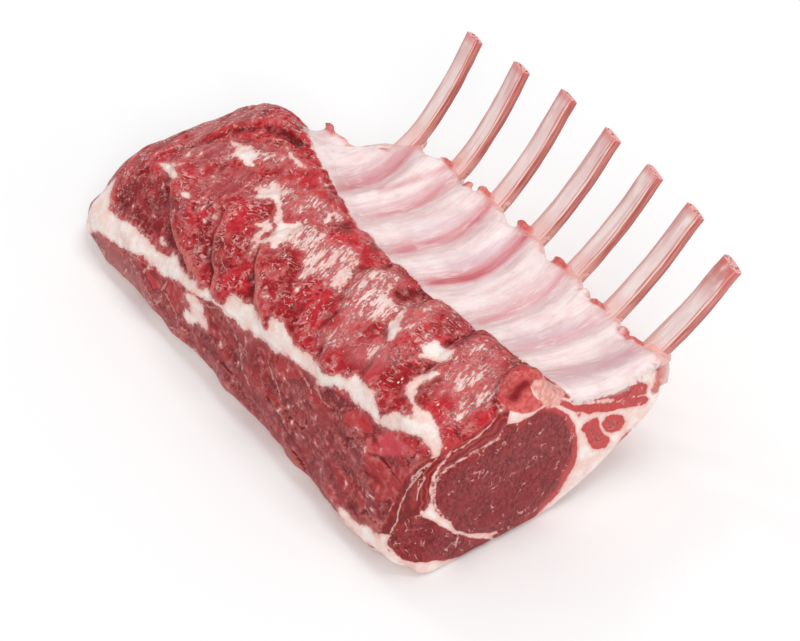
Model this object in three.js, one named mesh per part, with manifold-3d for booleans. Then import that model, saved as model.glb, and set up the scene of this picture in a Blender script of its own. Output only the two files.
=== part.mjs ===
import * as THREE from 'three';
import { ParametricGeometry } from 'three/addons/geometries/ParametricGeometry.js';
import { mergeVertices } from 'three/addons/utils/BufferGeometryUtils.js';
import Module from 'manifold-3d';

// A french-trimmed rack of lamb with seven ribs, lying on its fat side with the ribs curving up.
// Millimetres. X runs along the back towards the fresh cut face, Y towards the rib tips, Z is up.
// Places below are measured from a point on the floor under the loin. At the end the group moves
// the finished rack so that its box stands centred on the origin.

// Driving dimensions
const farEnd = -111;
const cutFace = 107.5;
const blockHeight = 57;
const plateThickness = 15;
const ribPitch = 23.7;
const ribWidth = 8.8;
const ribDepth = 6.2;
const ribBaseHeight = 39;
const ribTipHeight = 78;
const ribBow = 1.7;
const ribInMeat = 12;
const socketGap = 0.35;
const notchDepth = 4.5;

// Where each rib leaves the meat and where its sawn tip stands, as [x, y]
const ribs = [
  { base: [-46.3, 41.5], tip: [-40.2, 62.0], size: 0.92 },
  { base: [-21.8, 44.5], tip: [-15.6, 64.8], size: 0.95 },
  { base: [1.9, 44.5], tip: [7.3, 68.3], size: 0.97 },
  { base: [25.4, 44.5], tip: [33.9, 66.9], size: 1.0 },
  { base: [48.9, 43.0], tip: [58.2, 65.7], size: 1.0 },
  { base: [73.1, 39.2], tip: [82.3, 63.5], size: 1.03 },
  { base: [97.2, 35.8], tip: [110.0, 55.7], size: 1.08 },
];

// Heights and reaches of the meat's section as stops of [x, value], from the far end to the cut face
const profiles = {
  floorY: [[farEnd, -60], [-98, -66], [60, -68], [90, -69], [cutFace, -65]],
  bulgeY: [[farEnd, -67], [-102, -72], [-60, -74], [40, -74.5], [85, -76.5], [cutFace, -75]],
  stripY: [[farEnd, -65], [-100, -70], [-50, -69], [0, -66.5], [60, -64], [cutFace, -62]],
  stripZ: [[farEnd, 14], [-104, 18], [-50, 29], [0, 39], [60, 47.5], [cutFace, 52]],
  crownY: [[farEnd, -38], [cutFace, -38]],
  crownZ: [[farEnd, 24], [-104, 33], [-94, 40], [-60, 48], [0, 53.5], [cutFace, blockHeight]],
  shoulderZ: [[farEnd, 24], [-103, 35], [-92, 43], [-74, 53], [-20, 52.5], [60, 54], [cutFace, 57]],
  ridgeY: [[farEnd, -8], [-76, -2], [-57, -3], [-25, -11], [-2, -16.5], [32, -16.5], [81, -11.5], [cutFace, -8]],
  ridgeZ: [[farEnd, 23], [-100, 36], [-88, 45], [-74, 52], [-60, 52], [-40, 49.5], [70, 49.5], [cutFace, 51]],
  hollowZ: [[farEnd, 18], [-98, 29], [-70, 38], [0, 38.5], [cutFace, 39.5]],
  plateY: [[farEnd, 1], [-76, 7], [-68, 14], [-62, 17.5], [-57.5, 19], [-53, 33], [-47, 37.5], [-22, 39.5],
    [25, 39.5], [73, 36.5], [cutFace, 31.5]],
  plateZ: [[farEnd, 21], [-88, 35], [-66, 42], [-57, 38.5], [-50, 38], [-43, 41], [-30, 42], [cutFace, 43]],
  bellyY: [[farEnd, -22], [-100, -13], [60, -13], [cutFace, -18]],
};

// Overlapping muscle segments across the top: where each front edge meets the plate side and the
// strip side, and how far it bows back towards the far end in between
const segments = [
  { plateX: -35, stripX: -30, bow: 45 },
  { plateX: -20, stripX: -13, bow: 22 },
  { plateX: 1, stripX: 12, bow: 20 },
  { plateX: 22, stripX: 45, bow: 4 },
  { plateX: 43, stripX: 66, bow: 1 },
  { plateX: 65, stripX: 88, bow: 1 },
  { plateX: 88, stripX: 112, bow: 0 },
];
const segmentRise = 2.8;
const segmentLength = 24;

// Lump of gristle at the head of the cut face
const knob = { x: 102.5, y: -23, reachX: 9.5, reachY: 11, rise: 6.5 };

// Lump of meat on the bare far part of the plate
const stub = { x: -61, y: 12, reachX: 7, reachY: 7, rise: 3.5 };

// How finely the meat and the ribs are divided
const samplesPerPoint = 4;
const bodyRows = 56;
const capRings = 4;
const ribAround = 12;
const ribRows = 11;

const { clamp, lerp, smoothstep } = THREE.MathUtils;

// Value of a profile at x, eased through its stops without overshoot
function along(stops, x) {
  let i = 0;
  while (i < stops.length - 2 && x > stops[i + 1][0]) i += 1;
  const slope = (k) => (stops[k + 1][1] - stops[k][1]) / (stops[k + 1][0] - stops[k][0]);
  const ease = (a, b) => (a * b > 0 ? (2 * a * b) / (a + b) : 0);
  const here = slope(i);
  const before = i > 0 ? slope(i - 1) : here;
  const after = i < stops.length - 2 ? slope(i + 1) : here;
  const span = stops[i + 1][0] - stops[i][0];
  const t = clamp((x - stops[i][0]) / span, 0, 1);
  const start = (1 + 2 * t) * (1 - t) ** 2 * stops[i][1] + t * (1 - t) ** 2 * span * ease(before, here);
  const end = t * t * (3 - 2 * t) * stops[i + 1][1] - t * t * (1 - t) * span * ease(here, after);
  return start + end;
}

// Smooth bump that is 1 in the middle of a round spot and 0 outside it
function spot(x, y, { x: cx, y: cy, reachX, reachY }) {
  const d = ((x - cx) / reachX) ** 2 + ((y - cy) / reachY) ** 2;
  return d < 1 ? (1 - d) ** 1.5 : 0;
}

// How far the plate's edge draws back between two ribs, most of all just short of the next rib
function notch(x) {
  const place = (x - ribs[0].base[0]) / ribPitch;
  const inside = smoothstep(place, 0, 0.4) * (1 - smoothstep(place, 6.1, 6.4));
  return notchDepth * inside * Math.sin(Math.PI * (place - 0.1)) ** 2;
}

// Named sizes of the section at x
function sizesAt(x) {
  const sizes = {};
  for (const [name, stops] of Object.entries(profiles)) sizes[name] = along(stops, x);
  sizes.plateY -= notch(x);
  return sizes;
}

// Closed outline of the meat, as a smooth curve in the Y-Z plane
function sectionCurve(s) {
  const lift = s.crownZ / blockHeight;
  const underZ = s.plateZ - plateThickness;
  const points = [
    [s.floorY, 0],
    [s.bulgeY, 7 * lift],
    [(s.bulgeY + s.stripY) / 2 - 1, s.stripZ * 0.55],
    [s.stripY, s.stripZ - 4 * lift],
    [s.stripY + 5, s.stripZ + 2 * lift],
    [s.crownY - 13, s.crownZ - 2],
    [s.crownY + 1, s.crownZ],
    [s.ridgeY - 9, s.shoulderZ - 1],
    [s.ridgeY, s.ridgeZ],
    [s.ridgeY + 2.5, s.ridgeZ - 3 * lift],
    [s.ridgeY + 11, s.hollowZ + 3 * lift],
    [(s.ridgeY + 11 + s.plateY) / 2, s.hollowZ],
    [s.plateY - 5, s.plateZ - 0.5],
    [s.plateY, s.plateZ - 3],
    [s.plateY + 1, underZ],
    [s.plateY * 0.5 + 2, underZ * 0.6],
    [s.plateY * 0.1, underZ * 0.27],
    [s.bellyY, 0],
    [s.bellyY - 23, 0],
  ];
  return new THREE.CatmullRomCurve3(points.map(([y, z]) => new THREE.Vector3(0, y, z)), true);
}

// Rise of the overlapping segments on the top of the loin
function segmentRelief(x, y, s) {
  const v = clamp((s.ridgeY - y) / (s.ridgeY - s.stripY), 0, 1);
  const window = smoothstep(v, 0, 0.08) * (1 - smoothstep(v, 0.9, 1));
  let rise = 0;
  for (const { plateX, stripX, bow } of segments) {
    const front = lerp(plateX, stripX, v) - bow * Math.sin(Math.PI * v ** 1.4);
    const past = x - front;
    if (past > 0) rise += segmentRise * smoothstep(past, 0, 2.5) * clamp(1 - past / segmentLength, 0, 1);
  }
  return window * rise;
}

// Bands over the ribs on the inside of the plate
function bandRelief(x, y, s) {
  const window = smoothstep(y, s.ridgeY + 5, s.ridgeY + 14) * (1 - smoothstep(y, s.plateY - 4, s.plateY));
  const place = (x - ribs[0].base[0] + 2) / ribPitch;
  return window * smoothstep(x, -75, -50) * 1.1 * Math.cos(2 * Math.PI * place);
}

// Shallow slanting bundles on the side face
function bundleRelief(x, z) {
  return 0.6 * Math.sin((x + 1.6 * z) / 6.5) * smoothstep(z, 2, 9);
}

// Place on the outline at x, with the relief added along its outward normal
function skinPoint(x, turns) {
  const s = sizesAt(x);
  const curve = sectionCurve(s);
  const place = curve.getPoint(turns % 1);
  const tangent = curve.getTangent(turns % 1);
  const normal = new THREE.Vector3(0, -tangent.z, tangent.y);
  const ends = smoothstep(x, farEnd, farEnd + 14) * (1 - 0.6 * smoothstep(x, cutFace - 6, cutFace));
  const onTop = normal.z > 0.25 && place.y > s.stripY;
  let relief = 0;
  if (onTop && place.y < s.ridgeY + 1) relief = ends * segmentRelief(x, place.y, s);
  if (onTop && place.y >= s.ridgeY + 1) relief = ends * bandRelief(x, place.y, s);
  if (normal.y < -0.8) relief = ends * bundleRelief(x, place.z);
  place.addScaledVector(normal, relief);
  if (normal.z > 0) place.z += knob.rise * spot(x, place.y, knob) + stub.rise * spot(x, place.y, stub);
  place.z = Math.max(place.z, 0);
  return place;
}

// Closed mesh from a function of turns (0 to 1 around) and run (0 to 1 along), with a pole at each end
function closedLoft(place, around, rows) {
  const geometry = new ParametricGeometry(place, around, rows);
  geometry.deleteAttribute('normal');
  geometry.deleteAttribute('uv');
  const merged = mergeVertices(geometry, 1e-3);
  const corners = merged.index.array;
  const kept = [];
  for (let i = 0; i < corners.length; i += 3) {
    const [a, b, c] = corners.slice(i, i + 3);
    if (a !== b && b !== c && c !== a) kept.push(a, b, c);
  }
  merged.setIndex(kept);
  return merged;
}

// How far the left corner of the cut face is rounded back
function cornerRound(x, y) {
  return 0.06 * Math.max(0, -63 - y) ** 2 * smoothstep(x, 60, cutFace);
}

// The meat's skin, row by row: rings on the far end, the body, then rings on the cut face
function meatPoint(turns, run, target) {
  const row = Math.round(run * (bodyRows + 2 * capRings));
  const far = Math.max(0, capRings - row) / capRings;
  const near = Math.max(0, row - capRings - bodyRows) / capRings;
  const x = lerp(farEnd, cutFace, clamp((row - capRings) / bodyRows, 0, 1));
  const place = skinPoint(x, 1 - turns);
  const middle = new THREE.Vector3(0, -36, 13);
  if (near > 0) middle.set(0, -26, 27);
  const rim = near === 0 && x > cutFace - 1 ? 0.03 : 0;
  place.lerp(middle, Math.max(far, near, rim));
  const dome = 0.8 * Math.sin(Math.PI * near) - 1.5 * Math.sin(Math.PI * 0.5 * far);
  target.set(x + dome - cornerRound(x, place.y), place.y, place.z);
}

// Middle line of a rib, from inside the plate out to its sawn tip
function ribCurve({ base, tip }) {
  const start = new THREE.Vector3(base[0], base[1], ribBaseHeight);
  const end = new THREE.Vector3(tip[0], tip[1], ribTipHeight);
  const outward = new THREE.Vector3(0, end.z - start.z, start.y - end.y).normalize();
  const middle = start.clone().lerp(end, 0.5).addScaledVector(outward, ribBow);
  const inner = start.clone().add(new THREE.Vector3(-1, -0.8 * ribInMeat, -0.6 * ribInMeat));
  return new THREE.CatmullRomCurve3([inner, start, middle, end]);
}

// A rib as a flat oval bar, slightly slimmer towards the tip; grow makes it larger all round
function ribGeometry(rib, grow) {
  const curve = ribCurve(rib);
  const place = (turns, run, target) => {
    const row = Math.round(run * (ribRows + 2));
    const t = clamp((row - 1) / ribRows, 0, 1);
    const tangent = curve.getTangentAt(t);
    const across = new THREE.Vector3(1, 0, 0).addScaledVector(tangent, -tangent.x).normalize();
    const inward = new THREE.Vector3().crossVectors(tangent, across);
    const taper = rib.size * (1.06 - 0.12 * t);
    const isPole = row === 0 || row === ribRows + 2;
    const wide = isPole ? 0 : (ribWidth / 2) * taper + grow;
    const deep = isPole ? 0 : (ribDepth / 2) * taper + grow;
    target.copy(curve.getPointAt(t));
    target.addScaledVector(across, wide * Math.cos(2 * Math.PI * turns));
    target.addScaledVector(inward, deep * Math.sin(2 * Math.PI * turns));
    if (row <= 1) target.addScaledVector(tangent, -grow);
  };
  return closedLoft(place, ribAround, ribRows + 2);
}

const wasm = await Module();
wasm.setup();

function toSolid(geometry) {
  const vertProperties = new Float32Array(geometry.attributes.position.array);
  const triVerts = new Uint32Array(geometry.index.array);
  return new wasm.Manifold(new wasm.Mesh({ numProp: 3, vertProperties, triVerts }));
}

function toGeometry(solid) {
  const mesh = solid.getMesh();
  const geometry = new THREE.BufferGeometry();
  geometry.setAttribute('position', new THREE.BufferAttribute(mesh.vertProperties, 3));
  geometry.setIndex(new THREE.BufferAttribute(mesh.triVerts, 1));
  geometry.computeVertexNormals();
  return geometry;
}

// The loin and the rib plate in one piece, with a socket for each rib
function meatMesh() {
  const outlinePoints = 19;
  let solid = toSolid(closedLoft(meatPoint, outlinePoints * samplesPerPoint, bodyRows + 2 * capRings));
  for (const rib of ribs) solid = solid.subtract(toSolid(ribGeometry(rib, socketGap)));
  const lean = new THREE.MeshStandardMaterial({ color: 0xa8323a, roughness: 0.45, metalness: 0 });
  const mesh = new THREE.Mesh(toGeometry(solid), lean);
  mesh.name = 'meat';
  return mesh;
}

// One bare rib bone
function ribMesh(rib, number) {
  const geometry = ribGeometry(rib, 0);
  geometry.computeVertexNormals();
  const bone = new THREE.MeshStandardMaterial({ color: 0xd9b3a4, roughness: 0.5, metalness: 0 });
  const mesh = new THREE.Mesh(geometry, bone);
  mesh.name = `rib_bone_${number}`;
  return mesh;
}

const rack = new THREE.Group();
rack.add(meatMesh());
ribs.forEach((rib, i) => rack.add(ribMesh(rib, i + 1)));

const bounds = new THREE.Box3().setFromObject(rack);
const centre = bounds.getCenter(new THREE.Vector3());
rack.position.set(-centre.x, -centre.y, -bounds.min.z);

export default rack;
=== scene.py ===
import itertools
import math

import bmesh
import bpy
import numpy as np
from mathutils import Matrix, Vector


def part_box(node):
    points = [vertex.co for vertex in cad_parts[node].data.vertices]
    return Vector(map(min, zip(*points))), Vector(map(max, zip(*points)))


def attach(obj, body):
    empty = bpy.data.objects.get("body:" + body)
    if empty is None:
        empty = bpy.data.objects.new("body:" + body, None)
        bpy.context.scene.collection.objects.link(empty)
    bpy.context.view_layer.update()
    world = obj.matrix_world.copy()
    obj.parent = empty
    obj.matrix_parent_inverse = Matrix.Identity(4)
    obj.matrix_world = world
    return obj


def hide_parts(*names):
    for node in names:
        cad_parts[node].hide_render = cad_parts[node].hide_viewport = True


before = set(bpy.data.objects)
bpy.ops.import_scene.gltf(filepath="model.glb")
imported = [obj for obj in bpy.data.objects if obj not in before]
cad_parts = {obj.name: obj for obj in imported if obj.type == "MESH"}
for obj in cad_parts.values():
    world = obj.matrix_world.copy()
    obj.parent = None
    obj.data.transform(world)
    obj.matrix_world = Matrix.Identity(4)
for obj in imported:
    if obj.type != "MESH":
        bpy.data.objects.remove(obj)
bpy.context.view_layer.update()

# All places below are in millimetres from the block's own zero, which lies here in the frame
BLOCK_ZERO = np.array([-0.894, 3.048, 0.0])
METRES = 0.001

# The photo's camera: turned from the front, raised, and far off with a long lens
PHOTO_WIDTH = 800
PHOTO_HEIGHT = 641
CAMERA_TURN = math.radians(55)
CAMERA_RISE = math.radians(42)
CAMERA_DISTANCE = 877.0
LENS_IN_PIXELS = 2400.0
SENSOR_MM = 36.0
PIXELS_PER_MM = LENS_IN_PIXELS / CAMERA_DISTANCE

# Main sizes of the block
CUT_FACE = 107.5
FAR_END = -111.0
RIB_PITCH = 23.7
SKIN_GRAIN = 0.95

# Changes to the whole skin: the foot is cut under, the plate's edge dips at the far end and lifts near the
# cut face, and nothing may stand out from the CAD's box by more than this
FOOT_UNDERCUT = 3.5
EDGE_DIP = 3.0
NEAR_LIFT = 2.4
BOX_ROOM_BELOW = np.array([0.4, 0.6, 0.0])
BOX_ROOM_ABOVE = np.array([0.4, 3.0, 0.8])

# Heights and depths of the relief
SEGMENT_LIP = 2.4
SEGMENT_GROOVE = 1.0
FLAP_LIP = 1.5
FLAP_GROOVE = 0.5
FIBRE_HEIGHT = 0.2
LUMP_HEIGHT = 0.7
CREASE_DEPTH = 0.6
HOLLOW_DEPTH = 1.3
POCKET_DEPTH = 1.2
BUNDLE_HEIGHT = 0.4
SPLIT_DEPTH = 0.8
FAT_HEIGHT = 0.35
EYE_BULGE = 0.35
SEAM_DEPTH = 0.3
RIB_SWELL = 2.3
NEAR_END_RISE = 2.6
PLATE_SINK = 1.1
RIDGE_LIP = 0.9
RIDGE_GROOVE = 0.5
KNOB_LIP = 1.4
KNOB_DEPTH = 1.5
KNOB_HOLLOW = 2.0

# The bare ribs: their full width and depth, how far the sawn tip slants, and the size of each one
RIB_NODES = [f"rib_bone_{number}" for number in range(1, 8)]
RIB_WIDTH = 8.3
RIB_DEPTH = 5.8
TIP_SLANT = 0.3
RIB_SIZES = [0.92, 0.95, 0.97, 1.0, 1.0, 1.03, 1.08]
BONE_ROWS = 64
BONE_AROUND = 32

# A CAD rib has this many corners in each ring, and its first rings lie in the socket. Lumps of this size
# close the sockets, and the mouth of each lies beside the first bare ring.
RIB_RING = 12
SOCKET_RINGS = 3
SOCKET_PLUG = (4.3, 3.6, 4.2)
MOUTH_SHIFT = np.array([1.5, 1.0, -1.0])
TAG_SCALE = 0.8

# A distance that is too far to matter, how far lines are run on at their ends, the share from which a
# point faces the photo's camera, and the width below which a seam is drawn as a thin line
OUT_OF_REACH = 20.0
RUN_ON = 90
SEEN = 0.3
THIN_SEAM = 0.45

# Where the loin's lean ends and the rib plate begins, and where the fat strip runs, as stops of x
RIDGE = (
    [-111, -84, -72, -66, -61, -57, -25, -2, 32, 81, 108],
    [-8, -2, 4, 5, 1, -3, -11, -16.5, -16.5, -11.5, -8],
)
PLATE_EDGE = ([-111, -76, -66, -57, -50, -44, -22, 25, 73, 108], [0, 6, 15, 18, 30, 38, 39, 39, 36, 31])
STRIP_EDGE = ([-111, -100, -50, 0, 60, 108], [-65, -70, -69, -66.5, -64, -62])
STRIP_FOOT = ([-111, -93, -46, -12, 45, 79, 108], [12, 13, 22, 33, 41, 46, 51])

# Fronts of the overlapping muscle segments: x at the ridge, x at the fat strip, how far they bow, and
# how strong they are from the ridge to the strip
FRONTS = [
    (-35, -30, 45, [1.0, 0.8, 1.0, 1.0, 0.8]),
    (-20, -13, 22, [0.9, 0.8, 0.2, 0.8, 1.0]),
    (1, 12, 20, [0.9, 0.7, 0.6, 1.0, 0.8]),
    (22, 45, 4, [1.0, 1.0, 0.5, 0.1, 0.2]),
    (43, 66, 1, [1.0, 1.0, 0.6, 0.1, 0.1]),
    (65, 88, 1, [0.9, 0.8, 0.3, 0.0, 0.1]),
]

# The rolled flap at the far end: the line that its lower edge follows
FLAP_EDGE = [(-54, -6, 52), (-67, -9, 52), (-71, -15, 51), (-79, -24, 48), (-84, -38, 44), (-88, -52, 38)]

# Small red tags of lean along the plate's edge, as centre and half sizes
TAGS = [
    ((-66, 14.5, 41), (4.5, 2.6, 1.8)),
    ((-60, 16.5, 40.5), (3.0, 2.4, 1.8)),
    ((-48, 25.0, 39.0), (4.0, 1.6, 1.2)),
    ((-24.5, 37.5, 40), (3.6, 2.6, 2.2)),
    ((-9, 36.0, 41.5), (2.6, 2.2, 1.8)),
    ((-2.0, 38.6, 41), (3.2, 2.4, 2.0)),
    ((21, 39.0, 41), (4.2, 2.6, 2.4)),
    ((44.5, 37.0, 41), (4.2, 2.8, 2.4)),
    ((63, 33.0, 41), (2.8, 2.6, 2.2)),
    ((69, 34.0, 41), (3.6, 2.6, 2.2)),
    ((86, 32.0, 41), (3.0, 2.6, 2.4)),
    ((92, 32.0, 41), (4.2, 2.8, 2.6)),
    ((104.5, 29.5, 40), (3.2, 2.6, 3.6)),
    ((106.5, 29.0, 35), (2.6, 2.4, 4.5)),
]

# The round end of the rolled flap
FLAP_END = ((-65.0, -4.2, 48.6), (8.5, 4.4, 3.8))

# Grain of the meat: across the block on top, slanting down on the side, along the block low down
TOP_GRAIN = np.array([0.36, -0.93, 0.0])
SIDE_GRAIN = np.array([0.99, 0.0, -0.12])
LOW_GRAIN = np.array([0.98, 0.0, -0.19])

# Outlines traced from the photo, in its pixels: patches of cream fat
FAT_PATCHES = [
    # The long strip along the shoulder
    [(119, 174), (112, 188), (109, 203), (109, 211), (114, 212), (120, 217), (128, 222), (137, 229),
     (148, 239), (154, 247), (164, 254), (170, 256), (173, 251), (178, 259), (185, 273), (194, 279),
     (200, 288), (204, 290), (208, 287), (211, 294), (218, 304), (224, 308), (231, 293), (239, 298),
     (249, 305), (250, 300), (256, 311), (264, 327), (267, 329), (268, 320), (273, 315), (278, 319),
     (285, 324), (288, 333), (293, 344), (301, 350), (315, 359), (324, 374), (335, 374), (349, 378),
     (354, 372), (358, 373), (365, 384), (375, 392), (377, 404), (380, 418), (383, 429), (375, 421),
     (365, 411), (356, 403), (347, 392), (335, 387), (319, 386), (316, 380), (301, 368), (288, 356),
     (275, 353), (264, 342), (257, 339), (249, 330), (244, 331), (240, 328), (234, 320), (225, 315),
     (218, 306), (206, 300), (192, 293), (185, 289), (177, 281), (164, 278), (160, 273), (149, 263),
     (142, 256), (131, 253), (119, 246), (105, 238), (98, 232), (86, 234), (78, 228), (90, 200)],
    # The large patch at the corner and the arc above it
    [(380, 418), (388, 414), (397, 413), (406, 415), (413, 416), (413, 408), (408, 400), (404, 393),
     (405, 386), (412, 379), (420, 375), (432, 371), (441, 370), (438, 375), (430, 379), (423, 384),
     (418, 389), (416, 396), (415, 402), (420, 408), (428, 412), (434, 418), (437, 426), (440, 438),
     (441, 449), (436, 457), (431, 455), (428, 446), (420, 438), (410, 434), (400, 431), (388, 430),
     (380, 427)],
    # The patch on the side face
    [(184, 294), (190, 292), (196, 295), (201, 301), (203, 311), (209, 323), (207, 331), (201, 326),
     (195, 323), (192, 327), (186, 322), (183, 314), (186, 308), (190, 312), (190, 304), (186, 301)],
    # White patches on top, from the far end
    [(224, 160), (229, 155), (236, 151), (237, 147), (229, 145), (232, 140), (238, 143), (245, 145),
     (252, 144), (254, 149), (262, 152), (260, 157), (253, 161), (255, 166), (249, 168), (243, 162),
     (236, 156), (230, 160), (222, 163)],
    [(247, 199), (252, 195), (258, 193), (252, 189), (259, 186), (266, 185), (272, 181), (279, 180),
     (281, 187), (287, 188), (290, 192), (285, 196), (282, 200), (282, 207), (284, 213), (282, 220),
     (285, 224), (292, 222), (298, 220), (301, 223), (300, 227), (309, 224), (313, 227), (306, 231),
     (299, 235), (290, 238), (282, 242), (277, 247), (270, 249), (269, 243), (262, 243), (257, 247),
     (253, 251), (250, 258), (249, 252), (253, 246), (259, 241), (267, 237), (273, 233), (276, 229),
     (275, 221), (276, 213), (276, 205), (270, 200), (262, 200), (255, 198)],
    [(251, 226), (256, 222), (263, 221), (269, 221), (273, 225), (274, 229), (268, 233), (262, 235),
     (255, 240), (251, 241), (254, 236), (259, 232), (261, 228), (255, 227)],
    [(161, 238), (164, 237), (165, 241), (167, 245), (163, 249), (160, 244)],
    [(158, 163), (168, 163), (178, 163), (184, 162), (180, 166), (172, 167), (177, 171), (178, 178),
     (172, 179), (167, 173), (163, 168)],
    [(190, 151), (186, 155), (184, 159), (188, 158), (192, 153)],
    [(177, 187), (182, 191), (189, 193), (190, 197), (184, 199), (181, 195)],
    [(286, 146), (291, 150), (295, 156), (302, 162), (310, 168), (306, 170), (298, 166), (290, 158),
     (285, 151)],
    [(328, 284), (333, 279), (340, 273), (347, 268), (351, 265), (352, 273), (349, 280), (342, 286),
     (335, 288), (330, 287)],
    [(387, 322), (392, 320), (398, 313), (404, 308), (411, 301), (406, 312), (402, 320), (401, 329),
     (396, 338), (391, 343), (387, 340), (389, 333)],
    [(418, 346), (424, 343), (430, 341), (436, 338), (440, 344), (447, 348), (455, 350), (452, 356),
     (450, 360), (440, 361), (432, 360), (424, 359), (417, 357), (416, 353), (422, 352)],
    # Below the knob
    [(499, 411), (503, 408), (509, 412), (518, 415), (528, 413), (538, 409), (547, 404), (560, 405),
     (560, 409), (545, 409), (536, 413), (528, 419), (516, 422), (506, 421), (501, 417)],
    # The cream band along the lower edge, next to the cut face
    [(338, 506), (348, 514), (357, 524), (367, 525), (374, 532), (380, 536), (391, 534), (386, 541),
     (390, 551), (398, 559), (409, 564), (422, 567), (438, 565), (444, 566), (437, 571), (424, 575),
     (410, 575), (399, 571), (388, 565), (380, 556), (373, 549), (364, 543), (352, 532), (338, 513)],
]

# Fields where fat and lean run in fine streaks, with how white they are
STREAKY_FIELDS = [
    (0.75, [(283, 233), (300, 222), (314, 225), (324, 230), (336, 243), (348, 242), (360, 250), (360, 262),
            (352, 272), (350, 283), (338, 290), (327, 284), (316, 277), (304, 280), (298, 283), (298, 276),
            (303, 270), (302, 262), (304, 254), (290, 247)]),
    (0.55, [(332, 290), (345, 286), (352, 276), (366, 269), (382, 267), (398, 269), (408, 281), (397, 287),
            (392, 296), (402, 304), (396, 314), (386, 323), (370, 322), (352, 330), (338, 337), (331, 330),
            (341, 318), (336, 303), (345, 299)]),
    (0.5, [(402, 318), (413, 307), (424, 303), (440, 300), (448, 306), (436, 318), (424, 328), (408, 334),
           (398, 345), (394, 338), (401, 328)]),
    (0.35, [(430, 350), (455, 352), (462, 343), (478, 338), (492, 344), (506, 356), (505, 372), (500, 392),
            (488, 404), (470, 420), (452, 428), (440, 420), (452, 405), (446, 388), (440, 372),
            (450, 362)]),
    (0.3, [(255, 182), (285, 176), (315, 190), (335, 205), (350, 222), (330, 228), (300, 222), (285, 214),
           (284, 200), (270, 196)]),
    (0.3, [(318, 330), (345, 318), (360, 330), (350, 345), (330, 352), (316, 345)]),
    (0.2, [(240, 145), (262, 138), (285, 148), (292, 165), (275, 172), (255, 165)]),
    (0.25, [(355, 342), (385, 338), (400, 348), (396, 362), (372, 366), (352, 360)]),
]

# The red part of the knob on the corner of the ridge
KNOB_RED = [(501, 402), (500, 392), (504, 384), (511, 376), (521, 371), (532, 368), (542, 372), (543, 379),
            (534, 380), (531, 387), (534, 396), (541, 401), (544, 405), (535, 411), (522, 414), (509, 410)]

# The hollow of the knob, painted dark as shade, is a slanting slit
KNOB_SLIT = [(515, 397), (519, 389), (525, 384)]

# Pinkish gristle behind the knob
GRISTLE = [(531, 381), (536, 378), (545, 374), (552, 378), (558, 385), (562, 394), (557, 402), (548, 405),
           (541, 401), (540, 394), (534, 388)]

# Rose furrows in the plate's skin, pink tissue deepened with painted shade, each from the loin out to the
# edge, with how red it is
FURROWS = [
    (0.75, [(350, 189), (364, 186), (380, 180), (394, 170), (407, 156)]),
    (0.60, [(392, 213), (405, 210), (418, 205), (430, 199), (442, 191)]),
    (0.80, [(405, 251), (420, 249), (435, 245), (450, 240), (465, 231), (478, 220), (488, 208)]),
    (1.00, [(440, 282), (458, 281), (474, 278), (490, 270), (505, 259), (518, 247), (528, 236)]),
    (0.50, [(488, 322), (505, 317), (520, 310), (535, 302), (548, 291), (560, 278)]),
    (0.35, [(520, 351), (540, 348), (560, 341), (580, 333), (600, 320)]),
    (0.35, [(560, 374), (580, 372), (600, 367), (615, 361), (632, 351)]),
]

# Shallower creases between them, tinted rose as painted shade
CREASES = [
    (0.45, [(380, 190), (400, 185), (420, 178), (440, 171), (452, 166)]),
    (0.20, [(398, 226), (412, 222), (430, 213), (450, 204), (462, 196)]),
    (0.20, [(484, 292), (500, 285), (515, 277), (530, 268)]),
    (0.15, [(455, 266), (475, 258), (495, 243), (508, 230)]),
    (0.15, [(540, 330), (560, 322), (578, 312), (592, 300)]),
    (0.20, [(330, 168), (345, 164), (362, 156), (376, 147)]),
]

# Lilac painted shade on the plate
LILAC_PAINTED_SHADE = [
    [(440, 262), (470, 250), (500, 240), (520, 228), (524, 236), (500, 262), (470, 272), (448, 274)],
    [(500, 340), (540, 330), (575, 318), (590, 325), (560, 345), (520, 352)],
    [(570, 370), (600, 360), (632, 346), (636, 354), (610, 372), (585, 380)],
    [(345, 185), (360, 178), (380, 165), (400, 150), (412, 152), (390, 172), (370, 184), (352, 192)],
    [(400, 232), (430, 218), (460, 205), (470, 212), (440, 232), (410, 244)],
]

# Smooth panels of muscle on the side face, with how bright they are
SIDE_PANELS = [
    (0.75, [(273, 353), (282, 354), (291, 360), (303, 369), (308, 374), (298, 381), (289, 379), (284, 385),
            (275, 378), (272, 364)]),
    (0.15, [(318, 385), (333, 387), (344, 391), (353, 398), (358, 405), (350, 408), (338, 407), (327, 401),
            (321, 394)]),
    (1.00, [(341, 413), (356, 409), (367, 413), (372, 422), (375, 433), (365, 433), (353, 428),
            (342, 422)]),
    (0.80, [(164, 278), (177, 282), (185, 289), (184, 298), (183, 308), (177, 316), (170, 305),
            (164, 289)]),
    (1.00, [(131, 253), (141, 256), (144, 263), (143, 273), (138, 266)]),
    (0.90, [(145, 271), (149, 271), (158, 280), (161, 289), (154, 289), (147, 279)]),
    (0.70, [(366, 437), (380, 435), (378, 456), (388, 464), (404, 466), (420, 462), (428, 458), (412, 474),
            (400, 490), (388, 502), (376, 500), (368, 480), (362, 455)]),
    (0.60, [(195, 313), (207, 309), (219, 322), (236, 340), (240, 352), (226, 346), (208, 334)]),
]

# Shallow hollow at the far left, painted darker as shade
SHADED_HOLLOW = [(122, 181), (135, 174), (150, 168), (163, 173), (173, 186), (182, 200), (177, 215),
               (176, 240), (180, 250), (172, 252), (160, 250), (148, 238), (137, 228), (120, 215),
               (111, 209), (113, 199)]

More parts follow.
